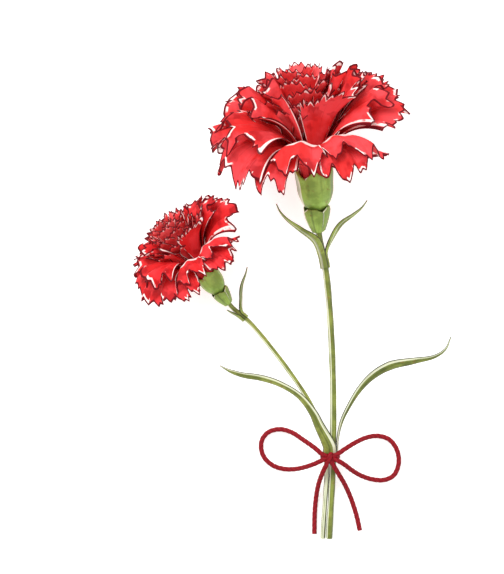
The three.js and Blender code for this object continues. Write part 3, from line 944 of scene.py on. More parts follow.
@dataclass(frozen=True)
class PetalForm:
    """The rule of the petal layers, from 0 for the innermost to 1 for the outermost."""

    thickness: float = 0.30
    throat: float = 17.0  # height of the throat above the foot of the calyx
    shares: Span = (0.12, 0.85)  # how far out a layer's claws stand in the calyx, as a share of its inside
    blade_length: Span = (40.0, 45.0)
    start_angle: Span = (2.0, 10.0)  # lean at the throat
    inner_end_angle: float = 6.0  # lean of the innermost tips
    open_power: float = 1.3  # how late, from layer to layer, the blades open
    claw_width: float = 0.76  # width of a claw and a blade as shares of the petal's own width
    overlap: float = 1.14
    shoulder: float = 0.14  # how much shorter a blade is at its sides
    teeth_for_width: Span = (0.085, 0.27)  # teeth for each degree of width
    teeth: tuple[int, int] = (6, 13)  # the fewest and the most teeth
    tooth_depth: float = 0.044  # as a share of the blade's length
    tooth_height: Span = (0.55, 1.35)  # how tall a tooth is, as a share of that depth
    notch_height: Span = (-0.25, 0.1)  # where the notch beside it lies
    tip_place: Span = (0.35, 0.65)  # where its tip is between its notches
    joint_shift: Span = (-0.25, 0.25)  # how far a notch strays, in teeth
    # a tooth's corners up to its tip and down to the next notch: share of the way, height, nearness
    tooth_rise: Places = ((0.35, 0.25, 0.35), (0.8, 0.8, 0.85), (1.0, 1.0, 1.0))
    tooth_fall: Places = ((0.3, 0.72, 0.8), (0.7, 0.2, 0.3))
    ruffle: float = 0.055  # depth of the wide ruffles, in layers, and half their number
    ruffles: float = 2.5
    frill: float = 0.026  # depth of the fine ones
    slant: float = 0.022  # how far each right side lies outside the next left side, in layers
    press_height: float = 14.0  # height above the surface below which the petals are pressed together
    droop: tuple[Span, ...] = (
        (-180, 110), (-115, 112), (-90, 132), (-65, 143), (-45, 158), (0, 160),
        (46, 150), (60, 110), (90, 85), (130, 88), (180, 110),
    )

    def droop_at(self, angle: Array) -> Array:
        """How far the outermost blades lean at their tips.

        Args:
            angle: Degrees round the flower.

        Returns:
            The leans in degrees.
        """
        turn = angle - 360 * np.floor((angle + 180) / 360)
        ends, leans = (np.array(part, float) for part in zip(*self.droop))
        after = np.clip(np.searchsorted(ends, turn, side="right"), 1, len(ends) - 1)
        return lerp(leans[after - 1], leans[after], smooth(turn, ends[after - 1], ends[after]))


@dataclass(frozen=True)
class LeafForm:
    """A leaf that clasps a stem and then follows its points; the lists are equally spaced along it."""

    clasp_start: float  # how far up the stem it starts
    clasp: float  # for how long it clasps the stem
    clasp_turn: float  # the side of the stem that it covers, in degrees
    points: Places
    turn: tuple[float, ...]  # where its upper face looks, in degrees
    half_width: tuple[float, ...]  # 0 for as wide as the clasp
    channel: tuple[float, ...] = (0, 0, 2.4, 3, 4)  # radius that it is bent to, 0 for that of the stem
    thickness: float = 0.5
    clasp_half_angle: float = 68.0  # how far round the stem each half reaches, where a width is 0


@dataclass(frozen=True)
class Ring:
    """One ring of petals: its layer, and each petal's middle angle and width in degrees."""

    layer: float
    petals: tuple[Span, ...]


@dataclass(frozen=True)
class Blade:
    """One blade of a petal: its place, and how its margin is cut."""

    layer: float
    middle: float
    width: float
    length: float = 1.0
    slope: float = 0.0  # how much longer it is on its right than in its middle, as a share
    lobe: float = 0.035  # depth of the wide lobes of its margin, as a share of its length
    teeth: int = 0  # 0 for a number that suits its width
    ruffled: float = 1.0  # share of the ruffles that it has
    fringe: float = 1.0  # share of the tooth depth that it has
    tooth_highlights: float = 1.0  # how much of its teeth carries the painted highlight
    swing: float = 0.0  # how far its right side leans out past its middle, in layers
    crest: bool = False  # True where it folds over and gets a painted highlight along the fold
    hump: float = 0.0  # millimetres that its middle stands up at full size
    ends: Span = (0.0, 0.0)  # millimetres that its left and right ends hang down


@dataclass(frozen=True)
class TuftForm:
    """The small petals in the middle of a head, at full size."""

    count: int = 42
    radius: float = 20.5
    top: float = 42.0  # height of the middle of the dome above the throat
    drop: float = 17.0  # how much lower its edge is
    lean: float = 0.6  # how far its outermost petals lean out, in radians
    flatten: float = 0.6  # its depth from front to back, as a share of its width
    back: float = 4.5  # how far it stands back and aside of the head's axis
    aside: float = -2.5
    width: float = 15.0  # of one small petal
    height: float = 21.0
    seed: int = 3


CALYX, BRACT, PETAL = CalyxForm(), BractForm(), PetalForm()


@dataclass
class Stem:
    """A flower's stem: its middle line and its radius."""

    name: str
    line: Route
    radius: float

    def build(self, tubes: SweptTube, material: bpy.types.Material) -> None:
        """Builds the stem with faint ribs and slow swellings.

        Args:
            tubes: The tree that sweeps it.
            material: Its finish.
        """
        line = self.line.samples
        travelled = np.linspace(0.0, self.line.length, len(line))
        swell = np.full(len(line), 1.02)
        swell += 0.05 * np.sin(travelled * 0.35) * np.sin(travelled * 0.11)
        piece = tubes.tube(f"{self.name}_stem_skin", line, self.radius, material, swell=swell,
                           sides=20, lobes=5, depth=0.09, twist=0.002)
        settle(piece, Slot.STEM, f"{self.name}_stem")


@dataclass
class Leaf:
    """One leaf on the stems that it clasps."""

    name: str
    form: LeafForm
    held: Sequence[Stem]

    def rim(self, distance: float) -> tuple[Array, Array, float]:
        """The bar that the leaf clasps at a distance up the stems.

        Args:
            distance: Distance from the cut ends.

        Returns:
            Its middle, its turning matrix and the radius of the leaf's middle surface on it.
        """
        middles = [stem.line.at(np.array(distance)) for stem in self.held]
        middle = np.mean(middles, axis=0)
        radius = max(s.radius + float(np.linalg.norm(m - middle)) for s, m in zip(self.held, middles))
        turned = frames_along(self.held[0].line.heading(np.array(distance)))
        return middle, turned, radius + CLEAR + self.form.thickness / 2

    def build(self, material: bpy.types.Material) -> None:
        """Builds the leaf as a folded blade with a groove along its middle.

        Args:
            material: Its finish.
        """
        form = self.form
        clasped = []
        for share in (0.0, 0.5, 1.0):
            middle, turned, radius = self.rim(form.clasp_start + share * form.clasp)
            clasped.append(middle + turned @ (outward(np.array(form.clasp_turn)) * radius))
        path = Route([*(c.tolist() for c in clasped), *form.points])
        hold = self.rim(form.clasp_start + form.clasp)[2]
        widths = [w or math.radians(form.clasp_half_angle) * hold for w in form.half_width]
        folds = [r or hold for r in form.channel]

        def place(across: Array, share: Array, depth: Array) -> Array:
            """Points of the blade in the layout frame.

            Args:
                across: -1 to 1 over its width.
                share: 0 to 1 along its length.
                depth: -1 to 1 through its thickness.

            Returns:
                The points.
            """
            looks = outward(along(form.turn, share))
            radius = along(folds, share)
            width = along(widths, share) * (1 + 0.04 * np.sin(share * 19.0 + across * 2.0))
            bend = across * width / radius
            out = radius + depth * form.thickness / 2
            side = np.stack([looks[..., 2], np.zeros_like(share), -looks[..., 0]], axis=-1)
            local = looks * (out * np.cos(bend) - radius)[..., None]
            local = local + side * (out * np.sin(bend))[..., None]
            turned = frames_along(path.heading(share * path.length))
            return path.at(share * path.length) + np.einsum("...ij,...j->...i", turned, local)

        blade = lens_blade(f"{self.name}_blade", place, int(path.length / 0.9) + 8, 20, material)
        settle(blade, Slot.LEAF, self.name)


@dataclass
class Carnation:
    """One flower: head, calyx, bracts, stem and the leaf pair below the head."""

    name: str
    size: float
    foot: tuple[float, float, float]  # the foot of the calyx
    lean: float  # degrees to the left
    tilt: float  # degrees up from the surface
    stem_radius: float
    stem_side: Side
    stem_points: Places
    rings: tuple[Ring, ...]  # from the outside in
    leaf_node: float  # how far below the calyx the leaf pair starts
    leaves: dict[str, LeafForm]
    tuft: TuftForm
    petal_finish: PetalFinish
    cuts: dict[tuple[int, int], list[Blade]]  # blades of petals that differ, by ring and place from 1

    def __post_init__(self) -> None:
        """Works out the head's frame, its press and its stem's line."""
        lean, tilt = math.radians(self.lean), math.radians(self.tilt)
        flat = math.cos(tilt)
        self.axis = np.array([-math.sin(lean) * flat, math.cos(lean) * flat, math.sin(tilt)])
        self.turned = frames_along(self.axis)
        self.level = self.size * PETAL.press_height
        angle, reach = np.meshgrid(np.arange(90, 271, 2.0), np.arange(0.5, 1.001, 0.05), indexing="ij")
        outermost = np.full_like(angle, 1 + PETAL.ruffle + 1.5 * PETAL.frill)
        low = self.to_layout(self.layer_point(outermost, angle, reach * (1 + 2 * PETAL.tooth_depth)))
        room, depth = self.level - PETAL.thickness / 2, self.level - float(low[..., 2].min())
        self.give = depth * room / (depth - room)
        self.stem = Stem(self.name, Route(self._stem_places()), self.stem_radius)

    def _stem_places(self) -> list[list[float]]:
        """What the stem's middle line passes through.

        Returns:
            Places from the cut end to the foot of the calyx.
        """
        aside = self.stem_side.value * (self.stem_radius + CLEAR / 2)
        foot = np.array(self.foot)
        below = [self.size * BRACT.below + 2, self.size * BRACT.below * 0.5, CLEAR]
        return [
            [-1.6 + aside, -33.2, self.stem_radius],
            [STEMS_MIDDLE + aside, 0.0, TIE_HEIGHT],
            *self.stem_points,
            *((foot - self.axis * distance).tolist() for distance in below),
        ]

    def to_layout(self, points: Array) -> Array:
        """Points of the head's frame in the layout frame."""
        return points @ self.turned.T + np.array(self.foot)

    def pressed(self, points: Array) -> Array:
        """Keeps petals above the surface that the head rests on.

        Args:
            points: Points of the head's frame.

        Returns:
            The points in the layout frame.
        """
        placed = self.to_layout(points)
        sunk = np.maximum(self.level - placed[..., 2], 0.0)
        placed[..., 2] = np.where(sunk > 0, self.level - sunk / (1 + sunk / self.give), placed[..., 2])
        return placed

    def calyx_outer(self, height: Array) -> Array:
        """Outer radius of the calyx at heights above its foot."""
        rise = np.minimum(np.asarray(height, float) / (self.size * CALYX.round_height), 1.0)
        return self.size * CALYX.radius * np.sqrt(1 - (1 - rise) ** 2)

    def lean_at(self, layer: Array, angle: Array, reach: Array) -> Array:
        """Lean of a layer from the head's axis, in degrees."""
        end = lerp(PETAL.inner_end_angle, PETAL.droop_at(angle), np.abs(layer) ** PETAL.open_power)
        return lerp(lerp(*PETAL.start_angle, layer), end, reach)

    def layer_point(self, layer: Array, angle: Array, reach: Array) -> Array:
        """Points of petal layers in the head's frame.

        Args:
            layer: 0 for the innermost layer to 1 for the outermost.
            angle: Degrees round the head.
            reach: -1 at the foot of the claw, 0 at the throat and 1 at the tip.

        Returns:
            The points, in millimetres.
        """
        throat, foot = self.size * PETAL.throat, self.size * CALYX.floor + CLEAR
        share = lerp(*PETAL.shares, layer)
        claw = lerp(throat, foot, np.clip(-reach, 0, 1))
        inner = self.calyx_outer(claw) - self.size * CALYX.wall
        start = np.radians(self.lean_at(layer, angle, np.zeros_like(reach)))
        lean = np.radians(self.lean_at(layer, angle, np.maximum(reach, 0)))
        end = np.radians(self.lean_at(layer, angle, np.ones_like(reach)))
        bend = self.size * lerp(*PETAL.blade_length, layer) / (end - start)
        radius = share * inner + bend * (np.cos(start) - np.cos(lean))
        height = claw + bend * (np.sin(lean) - np.sin(start))
        points = outward(angle) * radius[..., None]
        points[..., 1] = height
        return points

    def margin(self, teeth: int, rng: np.random.Generator) -> tuple[Array, Array, Array]:
        """The toothed margin of one petal.

        Args:
            teeth: How many teeth it has.
            rng: The petal's own random numbers.

        Returns:
            Places across from -1 to 1, how far each stands out as a share of the tooth depth,
            and how near each is to the tip of its tooth.
        """
        joints = np.linspace(0, 1, teeth + 1)
        joints[1:-1] += rng.uniform(*PETAL.joint_shift, teeth - 1) / teeth
        corners = []
        for low, high in zip(joints, joints[1:]):
            tip = lerp(low, high, rng.uniform(*PETAL.tip_place))
            tall = rng.uniform(*PETAL.tooth_height)
            corners.append((low, rng.uniform(*PETAL.notch_height), 0.0))
            for start, end, tooth in ((low, tip, PETAL.tooth_rise), (tip, high, PETAL.tooth_fall)):
                corners += [(lerp(start, end, way), stand * tall, near) for way, stand, near in tooth]
        places, stands, points = np.array([*corners, (1.0, 0.0, 0.0)]).T
        return places * 2 - 1, stands, points

    def blade(self, blade: "Blade", rng: np.random.Generator) -> dict[str, Array]:
        """Works out one petal blade as a grid of points.

        Args:
            blade: The blade's place and cut.
            rng: The petal's own random numbers.

        Returns:
            The grid's points in metres, with its map and its lean and tooth values.
        """
        layer, middle, width = blade.layer, blade.middle, blade.width
        teeth = np.clip(round(width * lerp(*PETAL.teeth_for_width, layer)), *PETAL.teeth)
        across, stand, tooth = self.margin(blade.teeth or int(teeth), rng)
        across, out = np.meshgrid(across, PETAL_ROWS)
        fringe = blade.fringe * PETAL.tooth_depth * stand[None, :] * smooth(out, 0.6, 1)
        lobes = blade.lobe * np.cos(np.pi * 2.6 * across + rng.uniform(0, FULL_TURN)) * smooth(out, 0.4, 1)
        cut = blade.length * (1 - PETAL.shoulder * across**2 + blade.slope * across)
        reach = np.where(out > 0, out * cut + fringe + lobes, out)
        wave = np.sin(np.pi * PETAL.ruffles * across * PETAL.overlap + middle) * smooth(reach, 0.1, 1)
        phase = rng.uniform(0, FULL_TURN)
        frill = np.sin(np.pi * 5.3 * across + phase + 2.5 * reach)
        frill = (frill + 0.5 * np.sin(np.pi * 9.1 * across - phase)) * smooth(reach, 0.45, 1.05)
        opened = smooth(reach, 0, 0.5)
        waved = layer + blade.ruffled * (PETAL.ruffle * wave + PETAL.frill * frill)
        waved = waved + (PETAL.slant + blade.swing) * across * opened
        angle = middle + across * lerp(PETAL.claw_width, PETAL.overlap, opened) * width / 2
        lean = self.lean_at(waved, angle, reach) / 180
        shaped = self.layer_point(waved, angle, reach)
        hang = np.where(across < 0, *blade.ends) * across**2
        shaped[..., 1] += self.size * (blade.hump * (1 - across**2) - hang) * smooth(reach, 0.0, 0.45)
        return {
            "points": LAYOUT.metres(self.pressed(shaped)),
            "across": (across + 1) / 2,
            "out": np.where(out > 0, lerp(THROAT_MAP, 1.0, out), lerp(THROAT_MAP, 0.0, -out)),
            "lean": lean if blade.crest else np.zeros_like(lean),
            "tooth": np.broadcast_to(tooth * blade.tooth_highlights, out.shape),
        }

    def build_petal(self, ring: int, index: int, material: bpy.types.Material) -> None:
        """Builds one large petal, with any blade tucked under it, in place of its CAD node.

        Args:
            ring: Its ring, from 0 for the outermost.
            index: Its place in the ring, from 0.
            material: Its finish.
        """
        layer, (middle, width) = self.rings[ring].layer, self.rings[ring].petals[index]
        rng = np.random.default_rng(1000 * len(self.name) + 37 * ring + index)
        blades = self.cuts.get((ring + 1, index + 1), [Blade(layer, middle, width)])
        grids = [self.blade(blade, rng) for blade in blades]
        faces, first = [], 0
        for grid in grids:
            faces += [tuple(first + corner for corner in face) for face in sheet_faces(*grid["out"].shape)]
            first += grid["out"].size
        points = np.concatenate([grid.pop("points").reshape(-1, 3) for grid in grids])
        joined = {key: np.concatenate([grid[key].ravel() for grid in grids]) for key in grids[0]}
        petal = mesh_object(f"{self.name}_bloom_{ring + 1}_{index + 1}", points, faces, material)
        map_corners(petal.data, joined["across"], joined["out"])
        mark(petal.data, "lean", joined["lean"])
        mark(petal.data, "tooth", joined["tooth"])
        thicken(petal)
        settle(petal, Slot.PETAL, f"{self.name}_petal_{ring + 1}_{index + 1}")

    def small_petal(self) -> bpy.types.Object:
        """Makes the small petal that the tuft repeats.

        Returns:
            The petal, in metres, with its tip at the origin and facing +Z.
        """
        form, rng = self.tuft, np.random.default_rng(self.tuft.seed)
        places, stand, tooth = self.margin(5, rng)
        across, out = np.meshgrid(places, SMALL_PETAL_ROWS)
        width = form.width / 2 * lerp(0.35, 1.0, smooth(out, 0, 0.75))
        tall = form.height * (out * (1 - 0.2 * across**2) + 0.085 * stand[None, :] * smooth(out, 0.55, 1))
        bulge = -2.6 * across**2 * smooth(out, 0, 0.8) + 3.0 * smooth(out, 0.45, 1.0) ** 2
        ripple = 0.55 * np.sin(across * 9.0) * smooth(out, 0.5, 1)
        points = np.stack([across * width, tall - form.height, bulge + ripple], axis=-1) * self.size * MM
        petal = mesh_object(f"{self.name}_small_petal", points, sheet_faces(*out.shape))
        map_corners(petal.data, (across + 1) / 2, lerp(0.5, 1.0, out))
        mark(petal.data, "lean", np.zeros(out.size))
        mark(petal.data, "tooth", np.broadcast_to(tooth, out.shape))
        thicken(petal)
        return petal

    def build_tuft(self, tufts: Tuft, material: bpy.types.Material) -> None:
        """Builds the tuft of small petals in place of the innermost petal.

        Args:
            tufts: The tree that grows it.
            material: Its finish.
        """
        form, scale = self.tuft, self.size * MM
        pattern = self.small_petal()
        tuft = mesh_object(f"{self.name}_tuft", np.zeros((1, 3)), [])
        tufts.grow(tuft, Petal=pattern, Count=form.count, Radius=form.radius * scale,
                   Top=(PETAL.throat + form.top) * scale, Drop=form.drop * scale, Lean=form.lean,
                   Flatten=form.flatten, Back=form.back * scale, Seed=form.seed, Material=material)
        placed = Matrix(self.turned.tolist()).to_4x4()
        middle = self.to_layout(np.array([form.aside * self.size, 0, 0]))
        placed.translation = LAYOUT.metres(middle).tolist()
        tuft.data.transform(placed)
        bpy.data.objects.remove(pattern)
        settle(tuft, Slot.PETAL, f"{self.name}_petal_{len(self.rings)}_1")

    def build_calyx(self, material: bpy.types.Material) -> None:
        """Builds the cup, with shallow ribs and sepals whose points turn out a little.

        Args:
            material: Its finish.
        """
        rim, floor = self.size * CALYX.rim, self.size * CALYX.floor
        outside = np.concatenate([[0.0, 0.01, 0.03], np.linspace(0.07, 1, 18)]) * rim
        inside = np.linspace(rim, floor, 8)
        height = np.concatenate([outside, inside, [floor]])
        wall = self.calyx_outer(inside) - self.size * CALYX.wall
        radius = np.concatenate([np.maximum(self.calyx_outer(outside), CALYX.foot), wall, [CALYX.foot]])
        turn = np.linspace(0, 2 * np.pi, 60, endpoint=False)
        tall, around = np.meshgrid(height, turn, indexing="ij")
        reach = np.repeat(radius[:, None], len(turn), axis=1)
        sepal = around / (2 * np.pi) * CALYX.sepals
        point = 1 - 2 * np.abs(sepal - np.round(sepal))
        grown = smooth(tall, 0.72 * rim, rim)
        grown[len(outside) + 4:] = 0
        ribs = CALYX.rib_depth * np.cos(4 * np.pi * sepal)
        reach = reach * (1 - ribs * smooth(tall, 0.1 * rim, 0.6 * rim))
        reach = reach + point * self.size * CALYX.sepal_flare * grown
        lifted = tall + point**1.3 * self.size * CALYX.sepal_length * grown
        sine, cosine = np.sin(around), np.cos(around)
        points = LAYOUT.metres(self.to_layout(np.stack([sine * reach, lifted, cosine * reach], axis=-1)))
        cup = mesh_object(f"{self.name}_calyx_skin", points, sleeve_faces(*tall.shape), material)
        turn_outwards(cup.data)
        mark(cup.data, "along", tall * MM)
        mark(cup.data, "round", np.stack([sine, cosine, np.zeros_like(sine)], axis=-1), vectors=True)
        mark(cup.data, "facing", np.array([v.normal for v in cup.data.vertices]), vectors=True)
        settle(cup, Slot.CALYX, f"{self.name}_calyx")

    def build_bracts(self, material: bpy.types.Material) -> None:
        """Builds the bracts that cup the foot of the calyx.

        Args:
            material: Their finish.
        """
        low, high = -self.size * BRACT.below, self.size * BRACT.above
        neck = self.stem_radius + CLEAR
        lip = float(self.calyx_outer(high)) + CLEAR
        for k in range(BRACT.count):
            middle = BRACT.first_angle + 360 / BRACT.count * k
            lap = (1 - k % 2) * BRACT.lap

            def place(across: Array, share: Array, depth: Array) -> Array:
                """Points of this bract in the layout frame.

                Args:
                    across: -1 to 1 over its width.
                    share: 0 to 1 up its length.
                    depth: -1 to 1 through its thickness.

                Returns:
                    The points.
                """
                radius = lerp(neck, lip, np.sin(share * np.pi / 2))
                width = BRACT.half_angle * (1 - BRACT.narrowed * smooth(share, *BRACT.rounding))
                out = radius + self.size * (lap + (depth + 1) / 2) * BRACT.thickness
                points = outward(middle + across * width) * out[..., None]
                points[..., 1] = lerp(low, high, share)
                return self.to_layout(points)

            blade = lens_blade(f"{self.name}_bract_skin_{k + 1}", place, 18, 18, material)
            settle(blade, Slot.CALYX, f"{self.name}_bract_{k + 1}")

    def tuft_finish(self) -> PetalFinish:
        """The finish of the small petals, painted lighter and with weaker painted shade, to make up for the
        real shade they cast on each other.
        """
        return replace(self.petal_finish, name=f"{self.name}_tuft_petals", bright=colour(1.0, 0.41, 0.42),
                       warm=colour(0.98, 0.30, 0.31), shading=0.4)

    def build(self, greens: dict[str, bpy.types.Material], tubes: SweptTube, tufts: Tuft) -> None:
        """Builds the whole flower.

        Args:
            greens: The green finishes by name.
            tubes: The tree that sweeps the stem.
            tufts: The tree that grows the tuft.
        """
        petals = self.petal_finish.material()
        self.stem.build(tubes, greens[f"{self.name}_stem_skin"])
        self.build_calyx(greens["calyx_skin"])
        self.build_bracts(greens["bract_skin"])
        start = self.stem.line.length - self.leaf_node
        for side, form in self.leaves.items():
            leaf = Leaf(f"{self.name}_upper_leaf_{side}", replace(form, clasp_start=start), [self.stem])
            leaf.build(greens["upper_leaf_blade"])
        for ring, layer in enumerate(self.rings[:-1]):
            for index in range(len(layer.petals)):
                self.build_petal(ring, index, petals)
        self.build_tuft(tufts, self.tuft_finish().material())


GREENS = (
    GreenFinish("large_stem_skin", body=colour(0.54, 0.58, 0.24), painted_highlight=(0.42, 0.84), far_side_shade=0.3),
    GreenFinish("small_stem_skin", painted_highlight=(0.30, 0.75), foot_highlight=0.9),
    GreenFinish("left_leaf_blade", painted_highlight=(0.72, 0.88), on_sheet=True),
    GreenFinish("right_leaf_blade", body=colour(0.50, 0.54, 0.22), olive=colour(0.29, 0.33, 0.10),
                painted_highlight=(0.12, 0.28), on_sheet=True),
    GreenFinish("upper_leaf_blade", body=colour(0.62, 0.69, 0.31), painted_highlight=(0.36, 0.52), painted_highlight_share=0.5,
                on_sheet=True, margin=(0.70, 0.85)),
    GreenFinish("calyx_skin", body=colour(0.61, 0.74, 0.32), olive=colour(0.45, 0.55, 0.20),
                painted_highlight=(0.77, 0.92), painted_highlight_share=0.75, far_side_shade=0.0, outline=0.5),
    GreenFinish("bract_skin", body=colour(0.60, 0.71, 0.31), olive=colour(0.45, 0.54, 0.21),
                painted_highlight=(0.06, 0.13), on_sheet=True, margin=(0.91, 0.97)),
)


# --- the tie


LOOPS = {
    Side.LEFT: (
        (-6.2, 3.9, 0.92), (-10.6, 6.9, 0.58), (-15.3, 9.8, 0.2), (-19.9, 10.9, 0.02), (-24.4, 9.8, 0),
        (-27.0, 6.9, 0), (-27.5, 3.1, 0), (-26.1, -0.7, 0), (-22.6, -3.8, 0), (-18.4, -5.1, 0.04),
        (-14.2, -5.1, 0.25), (-10.2, -4.2, 0.56), (-6.2, -2.7, 0.9),
    ),
    Side.RIGHT: (
        (6.6, 3.6, 0.93), (10.8, 6.0, 0.66), (15.2, 7.7, 0.29), (19.8, 8.2, 0.04), (24.2, 6.8, 0),
        (27.3, 2.7, 0), (28.1, -2.8, 0), (26.1, -7.7, 0), (22.1, -9.6, 0), (17.4, -9.3, 0.05),
        (13.0, -7.8, 0.25), (9.2, -5.5, 0.6), (5.7, -2.8, 0.92),
    ),
}
TAILS = {
    Side.LEFT: (
        (-2.7, -6.0, 0.78), (-4.2, -10.4, 0.42), (-5.2, -15.7, 0.1), (-5.8, -22.1, 0), (-6.0, -31.4, 0),
    ),
    Side.RIGHT: (
        (3.4, -6.4, 0.74), (6.3, -11.4, 0.38), (8.8, -17.1, 0.07), (10.9, -23.5, 0), (12.4, -30.0, 0),
    ),
}


@dataclass
class Bow:
    """The cord: a turn round both stems, a knot on it, two loops and two tails."""

    tubes: SweptTube
    material: bpy.types.Material
    stem_radii: Span  # of the stems on the left and right
    radius: float = 0.9
    knot_half_width: float = 2.4
    knot_half_length: float = 2.0
    end_slant: float = -1.3  # how steeply the tails' free ends are cut

    def route(self, points: Places) -> Route:
        """A route whose heights run from 0, lying on the surface, to 1, level with the knot."""
        lying = self.radius + CLEAR
        return Route([[x, y, lerp(lying, KNOT_HEIGHT, height)] for x, y, height in points], step=0.35)

    def cord(self, name: str, line: Array, closed: bool = False) -> bpy.types.Object:
        """One length of the twisted cord."""
        thick = self.radius * 1.12  # over the strands
        return self.tubes.tube(name, line, thick, self.material, closed=closed, depth=0.08, twist=0.15)

    def build(self) -> None:
        apart = self.radius + CLEAR / 2
        below = -self.knot_half_length - CLEAR
        for side in Side:
            word, sign = side.name.lower(), side.value
            start, inner = sign * (self.knot_half_width + CLEAR), sign * self.radius
            out, back = ((inner, 0.4, 0.96), (start, apart, 1)), ((start, -apart, 1), (inner, -0.4, 0.96))
            loop = self.route((*out, *LOOPS[side], *back))
            piece = self.cord(f"bow_{word}_loop_cord", loop.samples)
            self.declare(piece, loop, f"bow_loop_{word}")
            tail = self.route(((sign * 0.5, -0.6, 0.94), (sign * apart, below, 0.98), *TAILS[side]))
            piece = self.cord(f"bow_{word}_tail_cord", tail.samples)
            self.slant_end(piece, tail, sign)
            self.declare(piece, tail, f"bow_tail_{word}")
        self.build_knot()
        self.build_wrap()

    def declare(self, piece: bpy.types.Object, route: Route, node: str) -> None:
        """Settles a free cord in place of its CAD node and reports its length.

        Args:
            piece: The cord's piece.
            route: Its middle line.
            node: The CAD node's name.
        """
        path = LAYOUT.metres(route.samples)
        2 * self.radius * MM
        settle(piece, Slot.CORD, node)
        LOG.info("%s is %.1f mm long", piece.name, route.length)

    def slant_end(self, piece: bpy.types.Object, route: Route, sign: int) -> None:
        """Cuts the free end of a tail at a slant.

        Args:
            piece: The tail's piece.
            route: Its middle line.
            sign: -1 for the left tail and 1 for the right one.
        """
        mesh = piece.data
        points = np.array([v.co for v in mesh.vertices], float)
        end, heading = LAYOUT.metres(route.samples[-1]), route.heading(np.array(route.length))
        from_end = points - end
        near = np.linalg.norm(from_end, axis=1) < self.radius * 1.02 * MM
        near &= np.abs(from_end @ heading) < 0.05 * MM
        points[near] += np.outer(from_end[near][:, 0] * sign * self.end_slant, heading)
        mesh.vertices.foreach_set("co", points.astype(np.float32).ravel())
        mesh.update()

    def build_knot(self) -> None:
        """Builds the knot: one slanted turn of the cord over the crossing, its ends tucked below."""
        turn = np.linspace(-1.08 * np.pi, 1.08 * np.pi, 60)
        line = np.stack([
            turn / np.pi * self.radius,
            np.sin(turn) * (self.knot_half_length - self.radius * 0.9),
            KNOT_HEIGHT + np.cos(turn) * self.radius * 0.95,
        ], axis=1)
        settle(self.cord("bow_knot_cord", line), Slot.CORD, "bow_knot")

    def build_wrap(self) -> None:
        """Builds the turn of cord that holds the stems side by side."""
        bend = max(self.stem_radii) + CLEAR + self.radius * 0.6
        turn = np.linspace(0, 2 * np.pi, 96, endpoint=False)
        right = np.cos(turn) >= 0
        stem = np.where(right, self.stem_radii[1], self.stem_radii[0])
        reach = 1.5 * CLEAR + 2 * stem + self.radius * 0.35 - bend
        line = np.stack([
            STEMS_MIDDLE + bend * np.cos(turn) + np.where(right, 1, -1) * reach,
            np.zeros_like(turn),
            TIE_HEIGHT + bend * np.sin(turn),
        ], axis=1)
        settle(self.cord("tie_wrap_cord", line, closed=True), Slot.CORD, "tie_wrap")


# --- the studio


@dataclass
class Studio:
    """A camera that looks straight down on the bunch, soft lights and a pale floor."""

    centre: Span = (-31.2, 68.4)  # what the camera looks at, at the height of the plane
    plane: float = 18.0
    away: float = 1600.0  # from the plane to the camera
    shown_height: float = 229.6  # how much of the plane is in view
    sensor: float = 36.0
    daylight: float = 0.77
    floor_half_side: float = 3.0  # metres

    def place_camera(self) -> None:
        """Places the camera above the bunch."""
        data = bpy.data.cameras.new("camera")
        data.sensor_width = self.sensor
        data.lens = self.sensor * self.away / self.shown_height
        data.clip_start, data.clip_end = 0.05, 20.0
        camera = add_object("camera", data)
        camera.location = LAYOUT.metres(np.array([*self.centre, self.plane + self.away])).tolist()
        bpy.context.scene.camera = camera

    def light(self, name: str, place: tuple[float, float, float], size: float, power: float) -> None:
        """Adds a soft area light that looks at the bunch.

        Args:
            name: The light's name.
            place: Where it stands, in metres.
            size: How wide it is, in metres.
            power: How strong it is, in watts.
        """
        data = bpy.data.lights.new(name, "AREA")
        data.shape, data.size, data.energy = "DISK", size, power
        lamp = add_object(name, data)
        lamp.location = place
        lamp.rotation_euler = (-Vector(place)).to_track_quat("-Z", "Y").to_euler()

    def build(self) -> None:
        """Builds the floor, the lights and the pale surroundings."""
        half = self.floor_half_side
        corners = np.array([[-half, -half, 0], [half, -half, 0], [half, half, 0], [-half, half, 0]])
        mesh_object("floor", corners, [(0, 1, 2, 3)], FloorFinish().material())
        self.light("key", (-0.5, 0.75, 1.1), 0.9, 14.0)
        self.light("fill", (0.8, -0.3, 1.3), 1.2, 5.0)
        world = bpy.data.worlds.new("surroundings")
        world.use_nodes = True
        sky = world.node_tree.nodes["Background"].inputs
        sky["Color"].default_value = (1.0, 1.0, 1.0, 1.0)
        sky["Strength"].default_value = self.daylight
        bpy.context.scene.world = world
        bpy.context.scene.view_settings.view_transform = "Standard"


# the three blades that both heads share, as the large head has them
LEFT_FOLD = Blade(1.0, -16, 46, length=0.85, fringe=0.45, crest=True, hump=2.6, ends=(8.0, 0.5))
RIGHT_FOLD = Blade(1.0, 33, 50, length=0.84, slope=0.12, fringe=0.5, crest=True, hump=3.0, ends=(0.5, 15.0))
TALL_PETAL = Blade(0.42, 23, 92, length=0.88, slope=0.22, lobe=0.012, teeth=12, ruffled=0.25, fringe=2.1,
                   tooth_highlights=2.0, swing=0.13)


# --- the bunch


